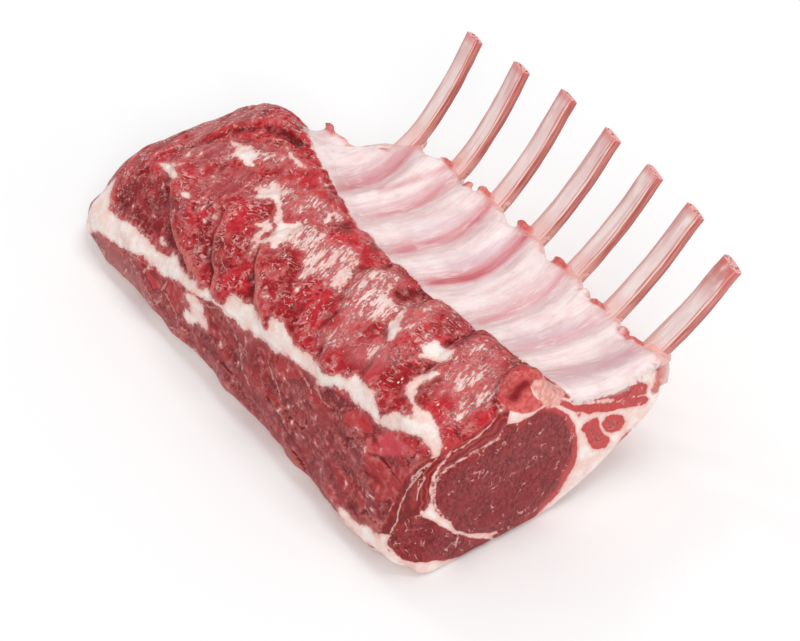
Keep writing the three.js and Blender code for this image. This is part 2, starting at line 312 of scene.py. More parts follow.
# Dull greyish lean, dried a little
DULL_LEAN = [
    [(97, 240), (110, 244), (126, 258), (138, 276), (150, 300), (162, 322), (150, 318), (130, 290),
     (108, 262)],
    [(195, 150), (215, 142), (235, 138), (228, 152), (220, 163), (205, 168), (192, 162)],
    [(190, 185), (215, 172), (240, 165), (262, 168), (252, 182), (240, 192), (220, 196), (200, 196)],
    [(340, 345), (365, 338), (392, 345), (398, 360), (385, 372), (362, 372), (346, 362)],
    [(425, 384), (440, 380), (452, 388), (448, 400), (434, 398)],
]

# Bright wet red patches
BRIGHT_LEAN = [
    [(378, 436), (390, 431), (405, 433), (418, 441), (428, 452), (420, 457), (400, 456), (380, 456),
     (374, 448)],
    [(357, 256), (366, 252), (382, 253), (395, 263), (385, 268), (368, 270), (356, 268)],
    [(494, 360), (502, 355), (510, 362), (508, 374), (498, 378), (492, 370)],
    [(262, 178), (280, 176), (300, 172), (325, 184), (332, 196), (315, 198), (292, 190), (278, 184)],
]

# Pockets of lean below a front's edge, at the ridge, dipped and painted darker as shade
SHADED_POCKETS = [
    [(330, 218), (345, 220), (357, 232), (345, 236), (333, 230)],
    [(352, 266), (372, 266), (366, 272), (356, 276), (350, 282), (350, 274)],
    [(393, 291), (405, 287), (425, 287), (440, 298), (425, 302), (402, 302), (394, 298)],
    [(438, 344), (455, 338), (470, 332), (490, 334), (476, 338), (464, 344), (452, 348), (442, 347)],
    [(268, 124), (285, 128), (303, 140), (303, 150), (292, 144), (280, 134), (262, 130)],
]

# Thin cream lines of fascia on the side face
FASCIA_LINES = [
    [(128, 252), (134, 266), (139, 279), (143, 292), (147, 303)],
    [(145, 287), (149, 296), (156, 302), (161, 300), (162, 290), (166, 282)],
    [(164, 291), (170, 303), (176, 314), (178, 324), (184, 330)],
    [(146, 303), (156, 305), (161, 300)],
    [(169, 327), (179, 329), (186, 330), (192, 333)],
    [(201, 301), (209, 307), (217, 308)],
    [(232, 352), (241, 351), (245, 354)],
    [(236, 363), (241, 363), (243, 372), (246, 376), (249, 386)],
    [(268, 362), (270, 370), (273, 378), (278, 387), (280, 398)],
    [(293, 406), (298, 402), (304, 400), (298, 405), (306, 413), (314, 419)],
    [(317, 385), (319, 394), (323, 402), (330, 407)],
    [(341, 418), (340, 410), (347, 408), (356, 408), (363, 411)],
    [(350, 448), (357, 446), (364, 446), (367, 450), (364, 455)],
    [(362, 485), (363, 492), (368, 497)],
    [(364, 505), (371, 517), (378, 524), (385, 521), (392, 505), (398, 500)],
    [(225, 316), (232, 328), (238, 342), (246, 352)],
    [(300, 372), (308, 384), (311, 392)],
]

# The cut face: outlines of the eye of the loin, of the muscle below it and of the lean in the plate, and
# the pale seams with their widths in mm
EYE_OF_LOIN = [(540, 409), (549, 407), (559, 409), (567, 415), (573, 423), (576, 432), (578, 445),
               (577, 458), (572, 470), (565, 482), (558, 493), (551, 501), (541, 511), (530, 520),
               (520, 528), (508, 537), (498, 541), (488, 533), (476, 534), (465, 532), (455, 530),
               (449, 520), (440, 517), (435, 510), (433, 500), (434, 489), (438, 478), (444, 471),
               (452, 466), (462, 458), (475, 451), (488, 444), (500, 436), (506, 425), (518, 423),
               (530, 417)]
LOWER_MUSCLE = [(412, 517), (420, 516), (430, 520), (438, 525), (447, 530), (453, 533), (462, 534),
                (475, 539), (491, 539), (487, 547), (470, 554), (452, 559), (430, 562), (412, 563),
                (402, 559), (394, 552), (388, 545), (389, 538), (397, 530), (403, 521)]
PLATE_LEAN = [
    [(571, 392), (590, 393), (600, 392), (612, 388), (624, 384), (640, 382), (647, 384), (646, 393),
     (632, 397), (620, 400), (608, 398), (598, 400), (586, 400), (572, 395)],
    [(556, 399), (565, 401), (575, 405), (590, 404), (605, 403), (620, 402), (633, 398), (645, 395),
     (649, 399), (646, 404), (640, 406), (625, 408), (610, 411), (590, 413), (574, 411), (564, 407),
     (556, 403)],
    [(583, 424), (590, 420), (597, 418), (600, 421), (600, 428), (603, 433), (609, 437), (610, 441),
     (605, 447), (599, 450), (593, 449), (588, 442), (586, 434), (582, 429)],
    [(602, 424), (606, 417), (614, 415), (622, 416), (625, 421), (622, 427), (618, 431), (611, 433),
     (605, 431)],
    [(576, 414), (580, 413), (582, 415), (579, 417)],
    [(630, 430), (624, 437), (618, 445), (616, 448), (622, 437), (627, 431)],
]
PALE_SEAMS = [
    (1.0, [(452, 450), (446, 460), (440, 466), (434, 476), (431, 488), (431, 500), (428, 509), (424, 514)]),
    (0.55, [(500, 438), (488, 445), (475, 452), (462, 459), (450, 467), (441, 474), (436, 484), (434, 498),
            (437, 510), (444, 518)]),
    (1.3, [(421, 512), (427, 517), (436, 520), (443, 524), (450, 523), (453, 529)]),
    (0.7, [(453, 529), (458, 532), (466, 535), (476, 537)]),
    (1.4, [(478, 537), (486, 536), (496, 532)]),
    (0.4, [(455, 530), (458, 536), (455, 545)]),
    (0.3, [(436, 460), (423, 471), (411, 485), (406, 493), (401, 504), (397, 520), (391, 533)]),
    (0.3, [(431, 462), (420, 470), (412, 478)]),
    (0.25, [(425, 478), (419, 488), (417, 498)]),
    (0.3, [(500, 412), (490, 426), (478, 436), (466, 444), (455, 451)]),
    (0.25, [(498, 405), (486, 418), (470, 430), (458, 440)]),
    (0.5, [(576, 420), (579, 436), (580, 450), (578, 462)]),
]
# Where the cut's pattern turns round the corner onto the side face
CUT_WRAP = [(441, 449), (431, 458), (420, 466), (408, 476), (400, 490), (392, 508), (385, 524), (378, 534),
            (386, 545), (392, 556), (402, 563), (420, 568), (430, 565), (440, 520), (445, 470)]
# The layered cap over the eye
CAP_BANDS = [(500, 400), (510, 410), (506, 424), (498, 437), (476, 450), (450, 466), (437, 477), (432, 492),
             (431, 503), (421, 514), (410, 518), (399, 528), (391, 535), (374, 533), (386, 512), (398, 492),
             (408, 474), (424, 462), (440, 457), (444, 447), (462, 436), (480, 420), (492, 408)]


def unit(vector):
    return np.asarray(vector, float) / np.linalg.norm(vector)


def ease(value, low, high):
    """A soft step from 0 at low to 1 at high."""
    part = np.clip((value - low) / (high - low), 0, 1)
    return part * part * (3 - 2 * part)


def bell(value, width):
    """1 where the value is zero, fading to nothing a few widths away."""
    return np.exp(-(value / width) ** 2)


def stops(x, table):
    return np.interp(x, table[0], table[1])


def camera_axes():
    back = np.array([
        math.sin(CAMERA_TURN) * math.cos(CAMERA_RISE),
        -math.cos(CAMERA_TURN) * math.cos(CAMERA_RISE),
        math.sin(CAMERA_RISE),
    ])
    right = np.array([math.cos(CAMERA_TURN), math.sin(CAMERA_TURN), 0.0])
    return right, np.cross(back, right), back


RIGHT, UP, BACK = camera_axes()


def photo_pixels(points):
    """Where points of the block are in the photo."""
    from_camera = points - CAMERA_DISTANCE * BACK
    depth = -from_camera @ BACK
    across = PHOTO_WIDTH / 2 + LENS_IN_PIXELS * (from_camera @ RIGHT) / depth
    down = PHOTO_HEIGHT / 2 - LENS_IN_PIXELS * (from_camera @ UP) / depth
    return np.stack([across, down], axis=1)


def on_cut_face(pixels):
    """The (y, z) of photo pixels on the plane of the cut face."""
    pixels = np.asarray(pixels, float)
    across = (pixels[:, :1] - PHOTO_WIDTH / 2) / LENS_IN_PIXELS
    down = (pixels[:, 1:] - PHOTO_HEIGHT / 2) / LENS_IN_PIXELS
    rays = across * RIGHT - down * UP - BACK
    reach = (CUT_FACE - CAMERA_DISTANCE * BACK[0]) / rays[:, :1]
    return (CAMERA_DISTANCE * BACK + reach * rays)[:, 1:]


def lattice_value(cells, seed):
    """A fixed random value in -1..1 for each whole-number cell."""
    mixed = cells[:, 0] * 73856093 ^ cells[:, 1] * 19349663 ^ cells[:, 2] * 83492791 ^ seed * 2654435761
    mixed = mixed & 0xFFFFFFFF
    mixed = ((mixed >> 15) ^ mixed) * 0x2C1B3C6D & 0xFFFFFFFF
    mixed = ((mixed >> 12) ^ mixed) * 0x297A2D39 & 0xFFFFFFFF
    mixed = (mixed >> 15) ^ mixed
    return mixed / 0x7FFFFFFF - 1


def smooth_noise(points, grain, seed):
    """Smooth random values in -1..1 that change over about grain millimetres."""
    place = points / grain
    low = np.floor(place)
    part = place - low
    part = part ** 3 * (part * (part * 6 - 15) + 10)
    cells = low.astype(np.int64)
    total = np.zeros(len(points))
    for corner in itertools.product((0, 1), repeat=3):
        weight = np.prod(np.where(np.array(corner) == 1, part, 1 - part), axis=1)
        total += weight * lattice_value(cells + np.array(corner), seed)
    return total


def layered_noise(points, grain, seed, layers=3):
    total = np.zeros(len(points))
    for layer in range(layers):
        total += smooth_noise(points, grain / 2 ** layer, seed + layer) / 2 ** layer
    return total


def stretched(points, grain, length):
    """Places squeezed along the grain, so that noise of them runs in streaks of that length."""
    along = points @ unit(grain)
    return points + np.outer(along * (1 / length - 1), unit(grain))


def segment_distance(points, start, end):
    run = end - start
    share = np.clip((points - start) @ run / (run @ run), 0, 1)
    return np.linalg.norm(points - start - share[:, None] * run, axis=1)


def line_distance(points, line):
    corners = np.asarray(line, float)
    gaps = [segment_distance(points, start, end) for start, end in zip(corners[:-1], corners[1:])]
    return np.minimum.reduce(gaps)


def outline_depth(points, outline):
    """How deep each flat place lies inside a closed outline; negative outside."""
    corners = np.asarray(outline, float)
    inside = np.zeros(len(points), bool)
    for start, end in zip(corners, np.roll(corners, -1, axis=0)):
        straddles = (start[1] > points[:, 1]) != (end[1] > points[:, 1])
        rise = end[1] - start[1] if end[1] != start[1] else 1.0
        crossing = start[0] + (points[:, 1] - start[1]) * (end[0] - start[0]) / rise
        inside ^= straddles & (points[:, 0] < crossing)
    distance = line_distance(points, np.vstack([corners, corners[:1]]))
    return np.where(inside, distance, -distance)


def side_of_line(points, line):
    """Signed flat distance to an open line in x and y, positive on its far side."""
    corners = np.asarray(line, float)
    nearest = np.full(len(points), np.inf)
    sign = np.ones(len(points))
    for start, end in zip(corners[:-1], corners[1:]):
        gap = segment_distance(points, start, end)
        run = end - start
        cross = run[0] * (points[:, 1] - start[1]) - run[1] * (points[:, 0] - start[0])
        sign = np.where(gap < nearest, np.where(cross < 0, 1.0, -1.0), sign)
        nearest = np.minimum(nearest, gap)
    return nearest * sign


def nearest_side(points, lines):
    """Signed flat distance to the nearest of some open lines.

    The sign keeps a line whole that is thinner than the mesh.
    """
    best = np.full(len(points), OUT_OF_REACH)
    for line in lines:
        side = side_of_line(points, line)
        best = np.where(np.abs(side) < np.abs(best), side, best)
    return best


def longer(line):
    """The same line with both ends run on."""
    corners = np.asarray(line, float)
    first = corners[0] + unit(corners[0] - corners[1]) * RUN_ON
    last = corners[-1] + unit(corners[-1] - corners[-2]) * RUN_ON
    return np.vstack([first, corners, last])


def merged_node(name):
    """A merged copy of a CAD node's mesh."""
    copy = bmesh.new()
    copy.from_mesh(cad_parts[name].data)
    bmesh.ops.remove_doubles(copy, verts=copy.verts, dist=1e-5)
    return copy


def add_lump(target, centre, half_sizes):
    """An egg-shaped lump joined to the surface that is about to be remeshed."""
    lump = bmesh.ops.create_icosphere(target, subdivisions=3, radius=1.0)
    for vert in lump["verts"]:
        place = BLOCK_ZERO + np.array(centre) + np.array(half_sizes) * np.array(vert.co)
        vert.co = Vector(place * METRES)


def piece_from(name, mesh, material, slot, *nodes):
    piece = bpy.data.objects.new(name, mesh)
    bpy.context.scene.collection.objects.link(piece)
    mesh.materials.clear()
    mesh.materials.append(material)
    for polygon in mesh.polygons:
        polygon.use_smooth = True
    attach(piece, "root")
    if nodes:
        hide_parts(*nodes)
    return piece


def rib_line(name):
    """The centre line of a CAD rib, from its inner end to its tip, in block millimetres."""
    copy = merged_node(name)
    points = np.array([vert.co for vert in copy.verts]) / METRES - BLOCK_ZERO
    copy.free()
    run = points[np.argmax(points[:, 2])] - points[np.argmin(points[:, 2])]
    points = points[np.argsort(points @ run)]
    rings = points[1:-1]
    count = len(rings) // RIB_RING
    return np.array([rings[i * RIB_RING:(i + 1) * RIB_RING].mean(axis=0) for i in range(count)])


def remeshed_skin():
    """The meat as one even fine surface, with the rib sockets closed and the red tags joined on."""
    block = merged_node("meat")
    for name in RIB_NODES:
        for place in rib_line(name)[:SOCKET_RINGS]:
            add_lump(block, place, SOCKET_PLUG)
    for centre, half_sizes in TAGS:
        add_lump(block, centre, TAG_SCALE * np.array(half_sizes))
    add_lump(block, *FLAP_END)
    mesh = bpy.data.meshes.new("meat_source")
    block.to_mesh(mesh)
    block.free()
    source = bpy.data.objects.new("meat_source", mesh)
    bpy.context.scene.collection.objects.link(source)
    remesh = source.modifiers.new("even", "REMESH")
    remesh.mode = "VOXEL"
    remesh.voxel_size = SKIN_GRAIN * METRES
    view = bpy.context.evaluated_depsgraph_get()
    skin = bpy.data.meshes.new_from_object(source.evaluated_get(view))
    bpy.data.objects.remove(source)
    return skin


def mesh_points(mesh):
    flat = np.empty(len(mesh.vertices) * 3)
    mesh.vertices.foreach_get("co", flat)
    return flat.reshape(-1, 3) / METRES - BLOCK_ZERO


def set_points(mesh, points):
    flat = ((points + BLOCK_ZERO) * METRES).ravel()
    mesh.vertices.foreach_set("co", flat)
    mesh.update()


def mesh_normals(mesh):
    flat = np.empty(len(mesh.vertices) * 3)
    mesh.vertex_normals.foreach_get("vector", flat)
    return flat.reshape(-1, 3)


def mesh_edges(mesh):
    flat = np.empty(len(mesh.edges) * 2, np.int64)
    mesh.edges.foreach_get("vertices", flat)
    return flat.reshape(-1, 2)


def neighbour_mean(values, edges):
    count = np.bincount(edges.ravel(), minlength=len(values)).astype(float)
    total = np.zeros_like(values)
    for column in range(values.shape[1]):
        for near, far in ((0, 1), (1, 0)):
            pulled = values[edges[:, far], column]
            total[:, column] += np.bincount(edges[:, near], pulled, minlength=len(values))
    return total / count[:, None]


def relaxed(points, edges, rounds):
    for _ in range(rounds):
        points = points * 0.4 + neighbour_mean(points, edges) * 0.6
    return points


def front_edges(points):
    """Across each segment front: signed distance, positive on its raised near side, and its strength."""
    ridge = stops(points[:, 0], RIDGE)
    strip = stops(points[:, 0], STRIP_EDGE)
    down = np.clip((ridge - points[:, 1]) / (ridge - strip), 0.0, 1.0)
    step = 0.02
    edges = []
    for number, (ridge_x, strip_x, bow, strengths) in enumerate(FRONTS):
        def front_x(share):
            return ridge_x + (strip_x - ridge_x) * share - bow * np.sin(np.pi * share ** 1.4)
        run = front_x(np.minimum(down + step, 1)) - front_x(np.maximum(down - step, 0))
        slope = run / (2 * step * (ridge - strip))
        wobble = 1.8 * smooth_noise(points, 8, 40 + number) + 0.5 * smooth_noise(points, 3.5, 50 + number)
        distance = (points[:, 0] - front_x(down)) / np.sqrt(1 + slope ** 2) + wobble
        strength = np.interp(down, np.linspace(0, 1, len(strengths)), strengths)
        edges.append((distance, strength))
    return edges


def collar_share(points):
    """The rim of each socket, where the skin ends on the bone."""
    share = np.zeros(len(points))
    for name in RIB_NODES:
        mouth = rib_line(name)[SOCKET_RINGS] + MOUTH_SHIFT
        reach = np.linalg.norm(points - mouth, axis=1) + 1.2 * smooth_noise(points, 2.5, 85)
        share = np.maximum(share, 1 - ease(reach, 4.2, 8.0))
    return share


def tag_share(points):
    """How much each point belongs to a red tag."""
    share = np.zeros(len(points))
    for centre, half_sizes in TAGS:
        reach = np.linalg.norm((points - np.array(centre)) / np.array(half_sizes), axis=1)
        reach += 0.25 * smooth_noise(points, 1.8, 86)
        share = np.maximum(share, 1 - ease(reach, 0.75, 1.15))
    return share


class Regions:
    """What each point of the meat's surface belongs to, as soft shares and signed distances in mm."""

    def __init__(self, points, normals):
        x, y, z = points.T
        self.facing = ease(normals @ BACK, 0.02, 0.2)
        self.pixels = photo_pixels(points)
        self.ridge_gap = y - stops(x, RIDGE) + 1.2 * smooth_noise(points, 9, 3)
        self.ridge_gap += 0.5 * smooth_noise(points, 3, 4)
        self.upward = ease(normals[:, 2], -0.15, 0.25)
        self.cut = ease(normals[:, 0], 0.55, 0.8) * ease(x, CUT_FACE - 3.5, CUT_FACE - 1.5)
        wrap = outline_depth(self.pixels, CUT_WRAP) / PIXELS_PER_MM
        wrap = ease(wrap + 0.3 * smooth_noise(points, 2.5, 83), -0.3, 0.5) * (x > 80) * (self.facing > SEEN)
        self.cut = np.maximum(self.cut, wrap)
        self.far_cut = ease(-normals[:, 0], 0.45, 0.75) * ease(-x, -FAR_END - 12, -FAR_END - 7)
        self.side = ease(stops(x, STRIP_FOOT) - z, -0.5, 0.8) * (ease(-y, 45, 55) * (1 - self.cut))
        self.side *= ease(z, 1.0, 3.0)
        self.side *= ease(-normals[:, 1], 0.1, 0.3)
        under = (1 - ease(normals[:, 2], -0.45, -0.15)) * (1 - self.cut) * (1 - self.far_cut)
        below_plate = (1 - self.upward) * ease(y, -20, -8) * (1 - self.cut)
        self.under = np.maximum(under, below_plate)
        self.plate = np.where(self.upward > 0.4, self.ridge_gap, -4.0)
        self.plate = np.minimum(self.plate, 3 - 8 * np.maximum(self.cut, self.far_cut))
        self.patches = self.patch_depth(FAT_PATCHES)
        self.fields = [
            (white, ease(self.patch_depth([outline]), -1.5, 2.5)) for white, outline in STREAKY_FIELDS
        ]
        self.streaky = np.maximum.reduce([inside * (0.4 + 0.6 * white) for white, inside in self.fields])
        self.hollow = self.patch_depth([SHADED_HOLLOW])
        self.dull = ease(self.patch_depth(DULL_LEAN), -1.5, 2.0)
        self.bright = ease(self.patch_depth(BRIGHT_LEAN), -0.8, 1.0)
        self.pocket = ease(self.patch_depth(SHADED_POCKETS), -0.6, 1.2)
        self.knob = self.patch_depth([KNOB_RED])
        fascia = nearest_side(self.pixels, FASCIA_LINES) / PIXELS_PER_MM
        self.fascia = np.where(self.facing > SEEN, fascia, OUT_OF_REACH)
        self.panel = np.zeros(len(points))
        for bright, outline in SIDE_PANELS:
            inside = ease(self.patch_depth([outline]) + 0.5 * smooth_noise(points, 3, 82), -0.4, 0.5)
            self.panel = np.maximum(self.panel, inside * (0.2 + 0.8 * bright))
        self.rib_waves()
        slit = line_distance(self.pixels, KNOB_SLIT) / PIXELS_PER_MM
        self.knob_reach = np.where(self.facing > SEEN, slit + 0.6 * smooth_noise(points, 2.5, 84), 50.0)
        self.lilac = ease(self.patch_depth(LILAC_PAINTED_SHADE), -2.0, 3.0) * self.upward
        self.tag = tag_share(points)
        self.collar = collar_share(points)
        self.cut_maps(points)

    def patch_depth(self, outlines):
        depths = [outline_depth(self.pixels, outline) / PIXELS_PER_MM for outline in outlines]
        depth = np.maximum(np.maximum.reduce(depths), -OUT_OF_REACH)
        return np.where(self.facing > SEEN, depth, -OUT_OF_REACH)

    def line_gap(self, line):
        gap = np.minimum(line_distance(self.pixels, line) / PIXELS_PER_MM, OUT_OF_REACH)
        return np.where(self.facing > SEEN, gap, OUT_OF_REACH)

    def rib_waves(self):
        """Where each point of the plate lies between the furrows, counted from the first one."""
        gaps = np.array([-side_of_line(self.pixels, longer(line)) for _, line in FURROWS]) / PIXELS_PER_MM
        phase = np.minimum(gaps[0] / RIB_PITCH, 0)
        for number in range(len(FURROWS)):
            if number + 1 < len(FURROWS):
                share = gaps[number] / np.maximum(gaps[number] - gaps[number + 1], 0.1)
            else:
                share = gaps[number] / RIB_PITCH
            phase = np.where(gaps[number] >= 0, number + np.clip(share, 0, 1), phase)
        rose = np.zeros(len(self.pixels))
        for number, (red, line) in enumerate(FURROWS):
            offset = phase - number
            width = np.where(offset < 0, 0.24, 0.07)
            rose = np.maximum(rose, red * (bell(offset, width) * bell(self.line_gap(line), 8)))
        part = phase - np.floor(phase)
        self.phase = phase
        self.crest = ease(part, 0.0, 0.34) * (1 - ease(part, 0.34, 1.0))
        self.crease = np.zeros(len(self.pixels))
        for red, line in CREASES:
            near = bell(self.line_gap(line), 1.8)
            self.crease = np.maximum(self.crease, near)
            rose = np.maximum(rose, red * near)
        self.furrow = rose * self.upward

    def cut_maps(self, points):
        """The pattern of the cut face, which the far end repeats at its own height."""
        x, y, z = points.T
        wobble = 0.35 * np.stack([smooth_noise(points, 3, 71), smooth_noise(points, 3, 72)], axis=1)
        near = x > 0
        place = np.stack([y, z * 1.45], axis=1) + wobble
        place[near] = self.pixels[near] / PIXELS_PER_MM + wobble[near]

        def drawn(pixels):
            return np.asarray(pixels, float) / PIXELS_PER_MM

        def at_both_ends(measure, shape):
            return np.where(near, measure(place, drawn(shape)), measure(place, on_cut_face(shape)))

        self.eye = at_both_ends(outline_depth, EYE_OF_LOIN)
        self.lower_muscle = at_both_ends(outline_depth, LOWER_MUSCLE)
        self.cap = at_both_ends(outline_depth, CAP_BANDS)
        self.plate_lean = np.maximum.reduce([at_both_ends(outline_depth, outline) for outline in PLATE_LEAN])
        thin = [line for width, line in PALE_SEAMS if width <= THIN_SEAM]
        near_seam = nearest_side(place, [drawn(line) for line in thin])
        far_seam = nearest_side(place, [on_cut_face(line) for line in thin])
        self.thin_seam = np.where(near, near_seam, far_seam)
        self.seam = np.full(len(points), -OUT_OF_REACH)
        for width, line in PALE_SEAMS:
            if width > THIN_SEAM:
                gap = at_both_ends(line_distance, line)
                self.seam = np.maximum(self.seam, max(0.5 * width, 0.42) - gap)


def fat_depth(points, areas):
    """Signed depth of cream fat in mm: over zero is fat."""
    streaks = layered_noise(stretched(points, TOP_GRAIN, 5.0), 2.0, 11, 3)
    flecks = layered_noise(stretched(points, TOP_GRAIN, 3.0), 1.8, 21, 2)
    edge = 0.5 * layered_noise(points, 3.0, 31, 2) + 0.35 * streaks * (1 - areas.side)
    depth = areas.patches + edge
    for white, inside in areas.fields:
        field = 1.3 * streaks + 2.4 * (white - 0.46) - 2.5 * (1 - inside)
        depth = np.maximum(depth, np.where(inside > 0.02, field, -OUT_OF_REACH))
    loose = 1.7 * flecks - 1.55
    depth = np.maximum(depth, np.where(areas.plate > 0, 3.0, loose))
    # On the sides that the photo doesn't show, the fat cap covers most of the meat
    cap = 1.5 * layered_noise(stretched(points, LOW_GRAIN, 2.5), 9, 61, 3) + 0.75
    depth = np.where(areas.under > 0.35, np.maximum(depth, cap), depth)
    # The cut face is fat wherever no muscle reaches, and blends into its surroundings at the edge
    muscle = np.maximum.reduce([areas.eye, areas.lower_muscle, areas.cap, areas.plate_lean])
    cut_fat = kept_near(np.maximum(-muscle, areas.seam))
    depth = kept_near(depth)
    depth = depth + (cut_fat - depth) * np.maximum(areas.cut, areas.far_cut)
    return np.where(areas.knob > 0, -areas.knob + 0.3 * flecks, depth)


def kept_near(distance, reach=6):
    """A signed distance, cut off where it gets too large to matter."""
    return np.clip(distance, -reach, reach)


def relief(points, areas):
    """How far the surface stands out from the CAD's, in mm, and how strongly each segment's rim is painted as
    a lit highlight.
    """
    x, y, z = points.T
    on_cut = np.maximum(areas.cut, areas.far_cut)
    off_cut = 1 - on_cut
    on_plate = ease(areas.plate, -0.5, 1.0)
    on_top = off_cut * (1 - on_plate) * (1 - areas.side) * (1 - areas.under)
    height = np.zeros(len(points))
    rim_highlights = np.zeros(len(points))
    # The loin's segments overlap: each has a raised lip and a groove before it
    for distance, strength in front_edges(points):
        strength = strength * (1 - 0.5 * ease(areas.ridge_gap, -9.0, -2.0))
        lip = ease(distance, -1.2, 1.8) * np.exp(-np.maximum(distance - 1.5, 0) / 9.0)
        groove = bell(distance + 1.5, 1.5)
        height += on_top * strength * (SEGMENT_LIP * lip - SEGMENT_GROOVE * groove)
        # Each front's lip gets a lit rim, painted as a highlight
        rim_highlights = np.maximum(rim_highlights, on_top * strength * bell(distance - 0.9, 1.3))
    flap = side_of_line(points, FLAP_EDGE) + 1.2 * smooth_noise(points, 9, 113)
    rolled = 0.3 + 0.7 * ease(y, -38, -14)
    near_flap = np.exp(-np.maximum(np.abs(flap) - 3, 0) / 3) * on_top * rolled
    height += near_flap * (FLAP_LIP * ease(flap, -1.5, 1.5) - FLAP_GROOVE)
    height -= FLAP_GROOVE * on_top * rolled * bell(flap + 1.6, 1.8)
    # The lean on top: fibres, soft lumps, broken creases, a hollow and pockets
    fibre = layered_noise(stretched(points, TOP_GRAIN, 3.0), 3.0, 101, 2)
    lumps = smooth_noise(points, 11, 111) + 0.5 * smooth_noise(points, 5, 112)
    height += on_top * (FIBRE_HEIGHT * fibre + LUMP_HEIGHT * lumps)
    broken = ease(smooth_noise(points, 8, 122), -0.2, 0.3)
    crease = layered_noise(stretched(points, TOP_GRAIN, 3.0), 6.0, 121, 2)
    height -= on_top * CREASE_DEPTH * broken * (1 - ease(np.abs(crease), 0.0, 0.14))
    height -= on_top * HOLLOW_DEPTH * ease(areas.hollow, -0.5, 5.0)
    height -= on_top * POCKET_DEPTH * areas.pocket
    # The side: slanting bundles above, long ones along the lower edge
    low = 1 - ease(z, 8, 16)
    slant = layered_noise(stretched(points, SIDE_GRAIN, 4.0), 4.2, 131, 2)
    along = layered_noise(stretched(points, LOW_GRAIN, 6.0), 3.6, 141, 2)
    bundles = slant * (1 - low) + along * low
    height += areas.side * (BUNDLE_HEIGHT * bundles + LUMP_HEIGHT * lumps)
    split = layered_noise(stretched(points, SIDE_GRAIN, 2.2), 9.0, 151, 2)
    height -= areas.side * SPLIT_DEPTH * broken * (1 - ease(np.abs(split), 0.0, 0.12))
    # Fat sits a little proud, with a rounded edge
    proud = ease(fat_depth(points, areas), -0.3, 1.6)
    height += off_cut * (1 - on_plate) * FAT_HEIGHT * proud
    smoothing = 1 - 0.75 * proud * off_cut
    height *= np.where(areas.patches > 0, smoothing * 0.6 + 0.4, 1.0)
    height += on_cut * (EYE_BULGE * ease(areas.eye, 0.0, 3.0) - SEAM_DEPTH * ease(areas.seam, -0.5, 0.3))
    height += on_cut * 0.10 * layered_noise(points, 2.2, 161, 2)
    # The plate's skin swells over each rib and dips into the furrow beside it
    ripple = layered_noise(stretched(points, [0.25, 0.9, 0.35], 4.0), 4.5, 171, 2)
    inner = ease(areas.ridge_gap, 1.0, 12.0)
    swell = RIB_SWELL * areas.crest * (0.35 + 0.65 * inner) - 0.6 * areas.crease
    near_end = NEAR_END_RISE * ease(x, 86, 102)
    height += on_plate * off_cut * (0.15 * ripple + swell + near_end - PLATE_SINK)
    lip = bell(areas.ridge_gap, 1.6) * areas.upward * off_cut
    height += RIDGE_LIP * lip * ease(-areas.ridge_gap, -1.2, 0.4)
    height -= RIDGE_GROOVE * lip * ease(areas.ridge_gap, 0.0, 1.2)
    height += areas.under * 0.35 * layered_noise(points, 6, 181, 3)
    height += areas.tag * off_cut * 0.4 * layered_noise(points, 2.5, 191, 2)
    # The knob at the corner: a curled lip round a dark hollow
    lobes = 1 + 0.5 * smooth_noise(points, 4, 201)
    curled = KNOB_LIP * lobes * bell(areas.knob_reach - 5.0, 2.0) * (1 - areas.cut)
    height += curled - KNOB_DEPTH * bell(areas.knob_reach, KNOB_HOLLOW)
    return height, rim_highlights


def store(mesh, name, values):
    layer = mesh.attributes.new(name, "FLOAT", "POINT")
    layer.data.foreach_set("value", np.asarray(values, np.float32))


def store_places(mesh, name, values):
    layer = mesh.attributes.new(name, "FLOAT_VECTOR", "POINT")
    layer.data.foreach_set("vector", np.asarray(values, np.float32).ravel())


def grain_places(points, grain, side_normal):
    """Places in mm with x along the fibres, so that every texture follows the meat's grain."""
    along = unit(grain)
    across = unit(np.cross(side_normal, along))
    return np.stack([points @ along, points @ across, points @ np.cross(along, across)], axis=1)


def moved_skin(points, normals, areas):
    """The relaxed surface with its relief, its undercut foot, and the plate's edge dipped and lifted."""
    height, rim_highlights = relief(points, areas)
    height *= np.where(normals[:, 2] < -0.3, ease(points[:, 2], 0.3, 2.5), 1.0)
    moved = points + normals * height[:, None]
    undercut = FOOT_UNDERCUT * (1 - ease(points[:, 2], 0.0, 7.0)) * (1 - areas.cut)
    moved[:, :2] -= normals[:, :2] * undercut[:, None]
    x, y, z = points.T
    edge = stops(x, PLATE_EDGE)
    dipped = ease(x, -66, -58) * (1 - ease(x, -47, -40)) * ease(y, edge - 14, edge - 3)
    moved[:, 2] -= EDGE_DIP * dipped
    lifted = ease(x, 86, 103) * ease(y - stops(x, RIDGE), 3, 12) * (1 - ease(y, edge - 8, edge))
    moved[:, 2] += NEAR_LIFT * lifted * ease(normals[:, 2], 0.05, 0.5)
    low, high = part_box("meat")
    low = np.array(low) / METRES - BLOCK_ZERO
    high = np.array(high) / METRES - BLOCK_ZERO
    return np.clip(moved, low - BOX_ROOM_BELOW, high + BOX_ROOM_ABOVE), rim_highlights


def relief_shading_share(points, normals, edges):
    """How far each point lies below its surroundings, from near by and from further off; it paints shade into
    hollows and a highlight onto bumps.
    """
    close = np.sum((neighbour_mean(points, edges) - points) * normals, axis=1)
    wide = points
    for _ in range(4):
        wide = neighbour_mean(wide, edges)
    broad = np.sum((wide - points) * normals, axis=1)
    return np.clip(close * 4 + broad * 2.2, -1, 1)


